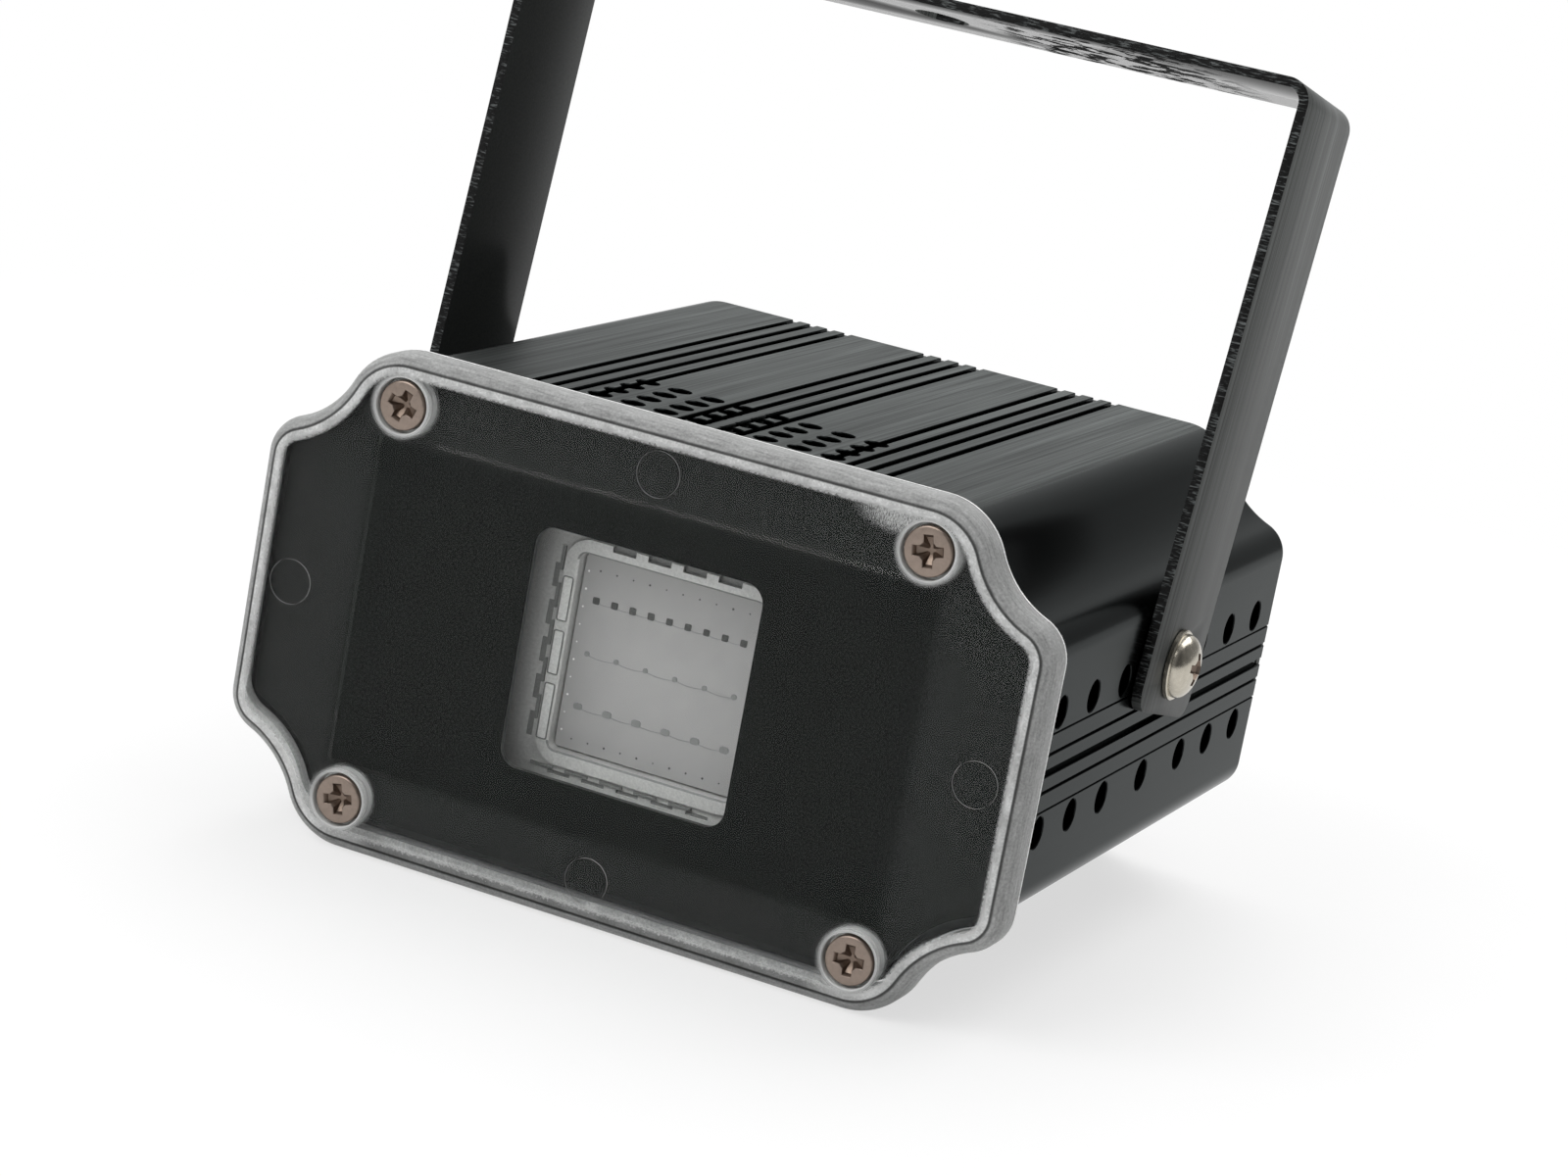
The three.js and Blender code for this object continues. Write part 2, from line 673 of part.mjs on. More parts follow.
function makeBoard() {
  const width = 2 * (innerWallX - turnGap);
  const room = runY(ogeeShape(housingForm, axisZ, -wallThickness - turnGap), boardFront, boardRear);
  const board = block(width, boardLength, boardThickness, 0, boardFront + boardLength / 2,
    boardRise + boardThickness / 2);
  piece('driver_board', board.intersect(room), boardGreen);
  const seat = boardTop + seatGap;

  for (let index = 0; index < capacitors; index += 1) {
    const can = turned([
      [0, seat],
      [capacitorRadius, seat],
      [capacitorRadius, seat + capacitorHeight - capacitorBevel],
      [capacitorRadius - capacitorBevel, seat + capacitorHeight],
      [0, seat + capacitorHeight],
    ], 'z');
    const x = capacitorX + index * capacitorPitch;
    piece(`capacitor_${index + 1}`, can.translate([x, boardRear - capacitorFromRear, 0]), sleeveBlack);
  }

  const ring = turned([
    [chokeBore, seat],
    [chokeRadius, seat],
    [chokeRadius, seat + chokeHeight],
    [chokeBore, seat + chokeHeight],
    [chokeBore, seat],
  ], 'z');
  piece('choke', ring.translate([chokeX, boardRear - chokeFromRear, 0]), ferrite);

  ['red', 'green', 'blue'].forEach((colour, index) => {
    const x = (index - 1) * transistorPitch;
    const y = boardFront + transistorFromFront;
    const body = block(transistorWidth, transistorDepth, transistorHeight, x, y, seat + transistorHeight / 2);
    piece(`transistor_${colour}`, body, blackPlastic);
  });

  const chip = block(chipLength, chipWidth, chipHeight, chipX, boardFront + chipFromFront,
    seat + chipHeight / 2);
  piece('controller_chip', chip, blackPlastic);
}

// A six-sided nut with its bore along Y, from one place to another
function hexNut(acrossCorners, boreRadius, fromY, toY) {
  const outer = rod(acrossCorners / 2, fromY, toY, 'y', hexSides);
  return outer.subtract(rod(boreRadius, fromY - overrun, toY + overrun, 'y'));
}

function makeRearPanel() {
  const sheet = runY(ogeeShape(housingForm, axisZ, -panelInset), panelFront, panelRear);
  const from = panelFront - overrun;
  const to = panelRear + overrun;
  const holes = portPlaces.map(([sideX, sideZ]) => rod(screwHoleRadius, from, to, 'y', smallSides)
    .translate([sideX * portX, 0, coverZ + sideZ * portRise]));
  holes.push(rod(jackRadius + turnGap, from, to, 'y').translate([-controlX, 0, axisZ]));
  holes.push(rod(bushRadius + turnGap, from, to, 'y').translate([controlX, 0, axisZ]));
  piece('rear_panel', sheet.subtract(joined(holes)), blackSheet);

  portPlaces.forEach(([sideX, sideZ], index) => {
    const screw = panScrew(screwLength).rotate([0, 0, 180]);
    const place = [sideX * portX, panelRear + seatGap, coverZ + sideZ * portRise];
    piece(`panel_screw_${index + 1}`, screw.translate(place), nickel);
  });
}

function makePowerInlet() {
  const place = [-controlX, 0, axisZ];
  const flangeFront = panelRear + seatGap;
  const mouth = flangeFront + jackFlange;
  const inner = mouth - jackLength;
  const shell = turned([
    [jackPinRadius + seatGap, inner],
    [jackRadius, inner],
    [jackRadius, flangeFront],
    [jackFlangeRadius, flangeFront],
    [jackFlangeRadius, mouth],
    [jackBore, mouth],
    [jackBore, inner + jackFloor],
    [jackPinRadius + seatGap, inner + jackFloor],
    [jackPinRadius + seatGap, inner],
  ], 'y');
  piece('power_socket', shell.translate(place), blackPlastic);
  const pin = rod(jackPinRadius, inner, mouth - jackPinRecess, 'y', smallSides);
  piece('power_pin', pin.translate(place), nickel);
  const nut = hexNut(jackNutAcrossCorners, jackRadius + seatGap, panelFront - seatGap - nutThickness,
    panelFront - seatGap);
  piece('power_nut', nut.translate(place), nickel);
}

function makeSpeedControl() {
  const place = [controlX, 0, axisZ];
  const shoulderRear = panelFront - seatGap;
  const potFront = shoulderRear - potDepth;
  const boreRadius = shaftRadius + seatGap;
  const shaftStart = bushEnd - bushLength - panelThickness - shaftDepth;
  const pot = turned([
    [0, potFront],
    [potRadius, potFront],
    [potRadius, shoulderRear - potNeck],
    [bushRadius + potNeck, shoulderRear],
    [bushRadius, shoulderRear],
    [bushRadius, bushEnd],
    [boreRadius, bushEnd],
    [boreRadius, shaftStart],
    [0, shaftStart],
  ], 'y');
  piece('speed_control', pot.translate(place), bareAluminium);
  const nutFront = panelRear + seatGap;
  const nut = hexNut(nutAcrossCorners, bushRadius + seatGap, nutFront, nutFront + nutThickness);
  piece('speed_nut', nut.translate(place), nickel);

  const shaft = rod(shaftRadius, shaftStart + seatGap, shaftStart + seatGap + shaftLength, 'y');
  piece('speed_shaft', shaft.translate(place), bareAluminium);

  const bore = shaftRadius + seatGap;
  const boreEnd = Math.max(knobRear - knobCap, shaftStart + 2 * seatGap + shaftLength);
  const body = turned([
    [bore, knobFront],
    [knobRadius, knobFront],
    [knobTopRadius, knobRear - knobRounding],
    [knobTopRadius - knobRounding, knobRear],
    [0, knobRear],
    [0, boreEnd],
    [bore, boreEnd],
    [bore, knobFront],
  ], 'y', 2 * roundSides);
  const cutters = [];
  for (let index = 0; index < knobFlutes; index += 1) {
    const angle = (2 * index + 1) * Math.PI / knobFlutes;
    const reach = knobRadius + fluteRadius - fluteBite;
    cutters.push(rod(fluteRadius, knobFront - overrun, knobRear + overrun, 'y', smallSides)
      .translate([reach * Math.cos(angle), 0, reach * Math.sin(angle)]));
  }
  cutters.push(block(pointerWidth, 2 * pointerDepth, knobTopRadius, 0, knobRear, knobTopRadius / 2));
  piece('speed_knob', body.subtract(joined(cutters)).translate(place), blackPlastic);
}

// The bracket is one strap bent twice, drawn upright about its pivot and then leant back. Its arms are
// sprung over the housing: each lies along its side at the pivot and leans out above it
function makeBracket() {
  const armInner = housingWidth / 2 + armGap;
  const armOuter = armInner + strapThickness;
  const outerTop = bracketRise;
  const innerBend = bendRadius - strapThickness;
  const foot = -armBelowPivot;
  const rightBend = new THREE.Vector2(armOuter + leanRight - bendRadius, outerTop - bendRadius);
  const leftBend = new THREE.Vector2(bendRadius - armOuter - leanLeft, outerTop - bendRadius);
  const shape = new THREE.Shape([
    new THREE.Vector2(armOuter, foot),
    new THREE.Vector2(armOuter, leanStart),
    ...arc(rightBend, bendRadius, 0, Math.PI / 2),
    ...arc(leftBend, bendRadius, Math.PI / 2, Math.PI),
    new THREE.Vector2(-armOuter, leanStart),
    new THREE.Vector2(-armOuter, foot),
    new THREE.Vector2(-armInner, foot),
    new THREE.Vector2(-armInner, leanStart),
    ...arc(leftBend, innerBend, Math.PI, Math.PI / 2),
    ...arc(rightBend, innerBend, Math.PI / 2, 0),
    new THREE.Vector2(armInner, leanStart),
    new THREE.Vector2(armInner, foot),
  ]);
  const strap = runY(shape, -strapWidth / 2, strapWidth / 2);
  const reach = armOuter + overrun;
  const cornerCutters = [-1, 1].map((side) => {
    const corner = block(2 * reach, armEndRadius + overrun, armEndRadius + overrun, 0,
      side * (strapWidth / 2 - (armEndRadius - overrun) / 2), foot + (armEndRadius - overrun) / 2);
    const keep = rod(armEndRadius, -reach - overrun, reach + overrun, 'x', 2 * roundSides)
      .translate([0, side * (strapWidth / 2 - armEndRadius), foot + armEndRadius]);
    return corner.subtract(keep);
  });
  const pivotBore = rod(pivotRadius + turnGap, -reach, reach, 'x', smallSides);
  const boltBore = rod(bracketBoltRadius, outerTop - strapThickness - overrun, outerTop + overrun, 'z');
  const body = strap.subtract(joined([...cornerCutters, pivotBore, boltBore]));
  const pivot = new THREE.Group();
  pivot.position.set(0, 0, pivotZ);
  pivot.rotation.x = -THREE.MathUtils.degToRad(bracketTilt);
  part.add(pivot);
  piece('bracket', body, blackPaint, pivot);
}

// Each pivot is a washer-head screw through the arm and the wall into a nut
function makePivots() {
  const headSeat = housingWidth / 2 + armGap + strapThickness + seatGap;
  for (const [name, side] of [['left', -1], ['right', 1]]) {
    const profile = [
      [0, headSeat - pivotLength],
      [pivotRadius, headSeat - pivotLength],
      [pivotRadius, headSeat],
      [pivotHeadRadius, headSeat],
      [pivotHeadRadius, headSeat + pivotWasher],
    ];
    const domeHeight = pivotHeadHeight - pivotWasher;
    for (let step = 0; step <= arcSteps; step += 1) {
      const angle = step / arcSteps * Math.PI / 2;
      const along = headSeat + pivotWasher + domeHeight * Math.sin(angle);
      profile.push([step === arcSteps ? 0 : pivotDomeRadius * Math.cos(angle), along]);
    }
    const body = turned(profile, 'x');
    const tip = headSeat + pivotHeadHeight;
    const across = block(2 * pivotCrossDepth, pivotCrossLength, pivotCrossWidth, tip, 0, 0);
    const upright = block(2 * pivotCrossDepth, pivotCrossWidth, pivotCrossLength, tip, 0, 0);
    const screw = body.subtract(across.add(upright)).rotate([0, 0, side > 0 ? 0 : 180]);
    piece(`pivot_screw_${name}`, screw.translate([0, 0, pivotZ]), nickel);

    const nutOuter = innerWallX - seatGap;
    const nutBody = rod(pivotNutAcross / 2, nutOuter - pivotNutThickness, nutOuter, 'x', hexSides);
    const nutBore = rod(pivotRadius + seatGap, nutOuter - pivotNutThickness - overrun, nutOuter + overrun,
      'x', smallSides);
    const nut = nutBody.subtract(nutBore).rotate([0, 0, side > 0 ? 0 : 180]);
    piece(`pivot_nut_${name}`, nut.translate([0, 0, pivotZ]), nickel);
  }
}

makeHousing();
makeCover();
makeMask();
makeCoverScrews();
makeModule();
makeHeatSink();
makeBoard();
makeRearPanel();
makePowerInlet();
makeSpeedControl();
makeBracket();
makePivots();

const light = new THREE.Group();
light.add(part);
part.position.set(0, -(coverFront + knobRear) / 2, coverHeight / 2 - coverZ);

export default light;
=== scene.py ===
import json
import math

import bmesh
import bpy
from bpy.props import FloatProperty, FloatVectorProperty, IntProperty, PointerProperty
from mathutils import Matrix, Vector


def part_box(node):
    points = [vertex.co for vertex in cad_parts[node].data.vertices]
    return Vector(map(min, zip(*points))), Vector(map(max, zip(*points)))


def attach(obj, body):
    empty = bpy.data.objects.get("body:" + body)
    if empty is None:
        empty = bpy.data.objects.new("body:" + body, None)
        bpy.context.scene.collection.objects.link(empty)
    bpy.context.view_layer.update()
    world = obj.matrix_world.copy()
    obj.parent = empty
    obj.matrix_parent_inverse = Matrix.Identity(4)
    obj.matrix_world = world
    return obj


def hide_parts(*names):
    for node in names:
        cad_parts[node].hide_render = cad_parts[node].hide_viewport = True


bl_info = {
    "name": "Compact strobe light",
    "version": (1, 0, 0),
    "blender": (4, 5, 0),
    "location": "View3D > Sidebar > Strobe",
    "description": "Dresses the strobe light's frame with fine shells, fasteners and finishes",
    "category": "Object",
}

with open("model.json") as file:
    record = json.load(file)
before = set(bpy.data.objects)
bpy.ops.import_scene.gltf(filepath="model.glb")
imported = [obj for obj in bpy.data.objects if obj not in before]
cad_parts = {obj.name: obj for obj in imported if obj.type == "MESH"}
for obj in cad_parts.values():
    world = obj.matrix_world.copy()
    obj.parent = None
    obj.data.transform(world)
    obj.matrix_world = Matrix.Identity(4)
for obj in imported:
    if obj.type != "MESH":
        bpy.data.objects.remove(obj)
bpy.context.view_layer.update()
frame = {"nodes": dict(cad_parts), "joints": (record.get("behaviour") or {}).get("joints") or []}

MM = 0.001
# How far a cutter reaches past what it cuts, and how close two points are the same point
OVERRUN = 2 * MM
MERGE = 1e-7
# Gap between the half shells, broken edge of a screw's cross, and how far a point may lie
# from a plane and still count as on it
SEAM_GAP = 0.1 * MM
CHAMFER = 0.09 * MM
CLOSE = 0.05 * MM
# Faces that meet at a smaller angle are shaded as one surface
SMOOTH_ANGLE = math.radians(32)
COVER_SMOOTH_ANGLE = math.radians(20)
MODULE_SMOOTH_ANGLE = math.radians(25)
# Facets round a shape
BORE_SIDES = 24
HOLE_SIDES = 32
ROD_SIDES = 48
SEAT_SIDES = 64
# Steps in a curve of an outline: the ogee's arcs, a bend or a large corner, and small corners
CURVE_STEPS = 12
CORNER_STEPS = 8
EDGE_STEPS = 4
FINE_STEPS = 3
# Most of a noise lies between these two values
NOISE_RUN = (0.3, 0.7)


def linear(code, alpha=1.0):
    """An sRGB hex colour as the linear red, green, blue and alpha that Blender works in."""
    parts = [int(code[i:i + 2], 16) / 255 for i in (1, 3, 5)]
    return tuple(p / 12.92 if p <= 0.04045 else ((p + 0.055) / 1.055) ** 2.4
                 for p in parts) + (alpha,)


def length(name, description, default):
    """A length of the piece, held in metres and shown in the scene's unit."""
    return FloatProperty(name=name, description=description, default=default, unit="LENGTH",
                         precision=5)


def colour(name, description, code):
    """A colour that is written as sRGB hex and held as linear."""
    return FloatVectorProperty(name=name, description=description, default=linear(code), size=4,
                               subtype="COLOR", min=0, max=1)


def count(name, description, default, least=1):
    """A number of like things."""
    return IntProperty(name=name, description=description, default=default, min=least)


# Places read from the frame
def middle(node):
    low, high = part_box(node)
    return (low + high) / 2


UPPER_LOW, UPPER_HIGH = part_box("housing_upper")
LOWER_LOW, LOWER_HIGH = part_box("housing_lower")
COVER_LOW, COVER_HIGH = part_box("front_cover")
MASK_LOW, MASK_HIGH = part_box("front_mask")
PAD_LOW, PAD_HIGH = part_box("led_pad")
FRAME_LOW, FRAME_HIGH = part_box("led_frame")
HOUSING_WIDTH = UPPER_HIGH.x - UPPER_LOW.x
HOUSING_HEIGHT = UPPER_HIGH.z - LOWER_LOW.z
HOUSING_MIDDLE_Z = (LOWER_LOW.z + UPPER_HIGH.z) / 2
COVER_WIDTH = COVER_HIGH.x - COVER_LOW.x
COVER_HEIGHT = COVER_HIGH.z - COVER_LOW.z
COVER_MIDDLE_Z = (COVER_LOW.z + COVER_HIGH.z) / 2
BRACKET_PIVOT = Vector(frame["joints"][0]["pos_m"])
COVER_SCREWS = [f"cover_screw_{i + 1}" for i in range(4)]
PANEL_SCREWS = [f"panel_screw_{i + 1}" for i in range(4)]
LED_SCREWS = [f"led_screw_{i + 1}" for i in range(4)]


class StrobeHousingSizes(bpy.types.PropertyGroup):
    """Sizes of the extruded housing and its rim, cover and mask"""
    wall: length("Wall", "Wall of the extrusion", 1.8 * MM)
    shoulder_inset: length("Shoulder inset", "From the side to the shoulder's centre", 16 * MM)
    shoulder_radius: length("Shoulder radius", "Radius of the shoulder lobes", 7 * MM)
    cheek_drop: length("Cheek drop", "From the top to the cheek's centre", 14.35 * MM)
    cheek_radius: length("Cheek radius", "Radius of the cheek lobes", 4.2 * MM)
    hollow_radius: length("Hollow radius", "Radius of the hollow between the lobes", 13 * MM)
    group_pitch: length("Group pitch", "Between the groups of grooves", 19.4 * MM)
    groove_pitch: length("Groove pitch", "Between the grooves of a group", 2.56 * MM)
    groove_width: length("Groove width", "Width of a groove", 0.95 * MM)
    groove_depth: length("Groove depth", "Depth of a groove", 0.8 * MM)
    seam_width: length("Seam width", "Width of the seam in the sides", 0.9 * MM)
    seam_depth: length("Seam depth", "Depth of the seam in the sides", 0.7 * MM)
    line_width: length("Line width", "Width of the inner lines in the sides", 0.34 * MM)
    fine_width: length("Fine line width", "Width of the outer lines in the sides", 0.16 * MM)
    line_depth: length("Line depth", "Depth of the fine lines in the sides", 0.4 * MM)
    inner_line: length("Inner line", "From the seam to the first fine line", 2.35 * MM)
    outer_line: length("Outer line", "From the seam to the second fine line", 4.85 * MM)
    front_land: length("Front land", "Whole ring before the grooves start", 0.7 * MM)
    lip: length("Lip", "Rounding of a groove's lips and of the cut ends", 0.12 * MM)
    top_vent_radius: length("Top hole radius", "Radius of the air holes in the top", 1.45 * MM)
    top_vent_pitch: length("Top hole pitch", "Between the air holes in the top", 4.38 * MM)
    top_vent_from_front: length("Top holes from front", "From the front to the first row",
                                10.6 * MM)
    side_vent_radius: length("Side hole radius", "Radius of the air holes in the sides", 1.97 * MM)
    side_vent_rise: length("Side hole rise", "From the seam to a row of holes", 7.3 * MM)
    side_vent_near: length("First side hole", "From the middle to the first hole", 14.3 * MM)
    side_vent_pitch: length("Side hole pitch", "Between the other holes", 10.9 * MM)
    pivot_hole_radius: length("Pivot hole radius", "Radius of the pivot screws' holes", 2.15 * MM)
    port_radius: length("Port radius", "Outside radius of a screw port", 3.2 * MM)
    port_bore: length("Port bore", "Bore radius of a screw port", 1.25 * MM)
    groups: count("Groups", "Groups of grooves in the top", 3)
    grooves: count("Grooves", "Grooves in a group", 4)
    vent_columns: count("Columns", "Columns of air holes in the top", 8)
    vent_rows: count("Rows", "Rows of air holes in the top", 4)
    side_vents: count("Side holes", "Holes in a row to each side of its middle", 3)


class StrobeCoverSizes(bpy.types.PropertyGroup):
    """Sizes of the clear cover and the black mask"""
    shoulder_radius: length("Shoulder radius", "Radius of the cover's shoulder lobes", 8.4 * MM)
    cheek_drop: length("Cheek drop", "From the cover's top to the cheek's centre", 15.9 * MM)
    cheek_radius: length("Cheek radius", "Radius of the cover's cheek lobes", 5.2 * MM)
    hollow_radius: length("Hollow radius", "Radius of the cover's hollows", 12 * MM)
    plate: length("Plate", "Thickness of the cover's front plate", 2.4 * MM)
    fillet: length("Fillet", "Rounding of the cover's front edge", 2.2 * MM)
    fit: length("Fit", "Gap between the cover's rim and the housing", 0.35 * MM)
    seat_radius: length("Screw seat radius", "Radius of the counterbores", 3.35 * MM)
    seat_depth: length("Screw seat depth", "Depth of the counterbores", 1.85 * MM)
    hole_radius: length("Screw hole radius", "Radius of the screw holes", 1.6 * MM)
    pocket_side: length("Pocket side border", "From the side to the polished pocket", 14.6 * MM)
    pocket_top: length("Pocket top border", "From the top to the polished pocket", 10.5 * MM)
    pocket_depth: length("Pocket depth", "Depth of the polished pocket", 0.3 * MM)
    pocket_slope: length("Pocket slope", "Width of the slope round the pocket", 1.2 * MM)
    pocket_corner: length("Pocket corner", "Corner radius of the polished pocket", 0.4 * MM)
    soft_edge: length("Soft edge", "Frosted band inside the rounded edge", 0.7 * MM)
    mark_radius: length("Mark radius", "Radius of the round moulding marks", 2.75 * MM)
    mark_side: length("Mark from side", "From the cover's side to a mark", 6.3 * MM)
    mark_top: length("Mark from top", "From the cover's top to a mark", 5.9 * MM)
    mark_depth: length("Mark depth", "Depth of a moulding mark", 0.12 * MM)
    mask_inset: length("Mask inset", "From the cover's well to the mask's edge", 1.6 * MM)
    window: length("Window", "Side of the mask's square window", 29.6 * MM)
    window_corner: length("Window corner", "Corner radius of the window", 2.4 * MM)


class StrobeModuleSizes(bpy.types.PropertyGroup):
    """Sizes of what shows on the light module"""
    row_width: length("Row width", "Width of a row of chips", 19.6 * MM)
    row_pitch: length("Row pitch", "Between the rows of chips", 6.6 * MM)
    chip_size: length("Chip size", "Side of a square chip", 0.86 * MM)
    chip_rise: length("Chip rise", "How far a chip stands on the pad", 0.1 * MM)
    wire_width: length("Wire width", "Width of the wire that joins a row", 0.06 * MM)
    wire_sag: length("Wire sag", "How far the wire hangs between two chips", 0.25 * MM)
    sunk: length("Sunk", "How deep chips, wires and bonds lie in the pad", 0.02 * MM)
    speck_size: length("Bond size", "Width of a bond dot at the pad's edge", 0.3 * MM)
    speck_pitch: length("Bond pitch", "Between the bond dots at the pad's edge", 2.2 * MM)
    speck_rise: length("Bond rise", "How far a bond dot stands on the pad", 0.03 * MM)
    speck_inset: length("Bond inset", "From the pad's edge to the bond dots", 0.6 * MM)
    opening: length("Opening", "Side of the frame's opening for the pad", 24.5 * MM)
    opening_corner: length("Opening corner", "Corner radius of the opening", 0.9 * MM)
    rim_corner: length("Rim corner", "Corner radius of the bevel round the opening", 1.2 * MM)
    frame_corner: length("Frame corner", "Corner radius of the whole frame", 1.5 * MM)
    lip: length("Lip", "Side of the raised lip round the opening", 28 * MM)
    lip_corner: length("Lip corner", "Corner radius of the raised lip", 3.2 * MM)
    lip_rise: length("Lip rise", "How far the lip stands on the frame", 0.6 * MM)
    lip_edge: length("Lip edge", "Bevel of the lip's inner edge", 0.22 * MM)
    panel_width: length("Panel width", "Width of a panel in the lip's sides", 1.1 * MM)
    panel_corner: length("Panel corner", "Corner radius of a panel", 0.15 * MM)
    panel_line: length("Panel line", "Width and depth of the line round a panel", 0.2 * MM)
    panel_inset: length("Panel inset", "From the lip's edge to a panel's middle", 0.8 * MM)
    slot_pitch: length("Slot pitch", "Between the slots round the lip", 4.65 * MM)
    slot_length: length("Slot length", "Length of a slot", 3.1 * MM)
    slot_width: length("Slot width", "Width of a slot", 0.75 * MM)
    slot_depth: length("Slot depth", "Depth of a slot", 0.18 * MM)
    slot_corner: length("Slot corner", "Corner radius of the slots and fingers", 0.12 * MM)
    slot_from_lip: length("Slot from lip", "From the lip to the middle of a slot", 1.1 * MM)
    top_slot_inset: length("Top slot inset", "How much nearer the top's slots lie", 1.0 * MM)
    finger_width: length("Finger width", "Width of a finger beside a slot", 0.45 * MM)
    finger_rise: length("Finger rise", "How far a finger stands on the frame", 0.3 * MM)
    finger_sunk: length("Finger sunk", "How deep a finger sits in the frame", 0.1 * MM)
    finger_out: length("Finger shift", "From a slot outward to its finger", 0.6 * MM)
    finger_along: length("Finger step", "From a slot along the side to its finger", 2.3 * MM)
    slots: count("Slots", "Slots along each side", 5)
    first_row: count("Top row", "Chips in the top row", 9, 2)
    other_rows: count("Other rows", "Chips in the other rows", 6, 2)
    specks: count("Bond dots", "Bond dots along each side of the pad", 10)


class StrobeBracketSizes(bpy.types.PropertyGroup):
    """Sizes of the strap bracket"""
    tilt: FloatProperty(name="Tilt", description="How far the bracket leans back",
                        default=math.radians(12.8), subtype="ANGLE")
    width: length("Strap width", "Width of the strap", 21 * MM)
    thickness: length("Strap thickness", "Thickness of the strap", 1.2 * MM)
    arm_gap: length("Arm gap", "Between an arm and the housing's side", 0.2 * MM)
    rise: length("Rise", "From the pivots to the strap's outer face", 71.05 * MM)
    foot: length("Foot", "From the pivots down to the strap's ends", 6.4 * MM)
    foot_radius: length("Foot radius", "Corner radius of the strap's ends", 3 * MM)
    lean_start: length("Lean start", "From the pivots up to where the arms lean out", 8 * MM)
    lean_left: length("Left lean", "How far the left arm leans out at the top", 2 * MM)
    lean_right: length("Right lean", "How far the right arm leans out at the top", 0.5 * MM)
    bend: length("Bend radius", "Outside radius of the bends", 3 * MM)
    bolt_hole: length("Bolt hole", "Radius of the hole for the mounting bolt", 3.5 * MM)
    pivot_hole: length("Pivot hole", "Radius of the holes for the pivot screws", 2.3 * MM)
    edge: length("Edge", "Rounding of the sheared edges", 0.2 * MM)


class StrobeScrewSizes(bpy.types.PropertyGroup):
    """Sizes of the cross-head screws"""
    head_radius: length("Head radius", "Radius of a flat head", 3 * MM)
    head_height: length("Head height", "Height of a flat head", 1.6 * MM)
    head_edge: length("Head edge", "Rounding of a flat head's edge", 0.3 * MM)
    shank_radius: length("Shank radius", "Radius of the shank", 1.2 * MM)
    cross_length: length("Cross length", "Length of the cross in the head", 3.7 * MM)
    cross_width: length("Cross width", "Width of the cross's slots", 1.12 * MM)
    cross_depth: length("Cross depth", "Depth of the cross", 1.25 * MM)
    pivot_flange: length("Flange radius", "Radius of a pivot screw's flange", 4.4 * MM)
    pivot_flange_thickness: length("Flange thickness", "Thickness of the flange", 0.7 * MM)
    pivot_flange_edge: length("Flange edge", "Broken edge of the flange", 0.15 * MM)
    pivot_dome: length("Dome radius", "Radius of a pivot screw's dome", 4 * MM)
    pivot_height: length("Pivot head height", "Height of a pivot screw's head", 2.9 * MM)
    pivot_shank: length("Pivot shank", "Radius of a pivot screw's shank", 2 * MM)
    pivot_cross_length: length("Pivot cross length", "Length of a pivot screw's cross", 4.2 * MM)
    pivot_cross_width: length("Pivot cross width", "Width of a pivot screw's cross", 1.05 * MM)
    pivot_cross_depth: length("Pivot cross depth", "Depth of a pivot screw's cross", 1.4 * MM)
    sides: count("Sides", "Facets round a head", 48, 12)


class StrobeFinishes(bpy.types.PropertyGroup):
    """Colours of the finishes"""
    anodised: colour("Black anodised", "Housing", "#1b1d1d")
    brushed: colour("Brushed faces", "Top and bottom of the housing", "#4d504f")
    # The cover; its rim's greys are painted reflection
    polycarbonate: colour("Clear plastic", "Front cover", "#fcfdfc")
    mask: colour("Mask", "Black sheet behind the cover", "#070b09")
    mask_edge: colour("Mask edge", "Cut edge of the black sheet", "#4c4e4d")
    nickel: colour("Nickel", "Flat screws", "#93857b")
    zinc: colour("Zinc", "Pivot screws", "#bdb7aa")
    frame: colour("Module frame", "Moulding round the pad", "#d8d8d7")
    pad: colour("Pad", "Soft pad over the chips", "#a4a3a3")
    chip_dark: colour("Dark chips", "Chips of the top row", "#454645")
    chip_grey: colour("Grey chips", "Chips of the other rows", "#828483")
    # Lower faces of the moulding; their material adds painted shade toward the outer edge
    frame_base: colour("Module base", "Lower faces of the moulding", "#d2d2d1")
    frame_panel: colour("Module panels", "Panels in the lip's sides", "#ececeb")
    # Painted shade on the moulding's slots, walls and faces turned from the light
    recess: colour("Module recesses", "Slots and walls of the moulding", "#8e8f8e")
    # Painted shade in the crosses of the screw heads
    cross: colour("Screw recess", "Cross in a screw's head", "#86776c")
    paint_inside: colour("Bracket underside", "Underside of the bracket's top", "#0f1010")
    paint_arm: colour("Bracket inside", "Inner faces of the bracket's arms", "#383a39")
    # The sheared edges; their material adds painted glints along the ticks
    paint_edge: colour("Bracket edge", "Sheared edges of the bracket", "#0f1010")
    # The bracket paint; its material adds painted light, paler toward the top
    paint: colour("Bracket paint", "Strap bracket", "#484a49")
    knob: colour("Knob", "Knob and socket", "#141516")
    floor: colour("Floor", "Floor and backdrop", "#f2f2f2")


# Mesh building
def new_object(name, mesh):
    made = bpy.data.objects.new(name, mesh)
    bpy.context.scene.collection.objects.link(made)
    return made


def from_bmesh(name, shape):
    bmesh.ops.remove_doubles(shape, verts=shape.verts, dist=MERGE)
    bmesh.ops.recalc_face_normals(shape, faces=shape.faces)
    mesh = bpy.data.meshes.new(name)
    shape.to_mesh(mesh)
    shape.free()
    return new_object(name, mesh)


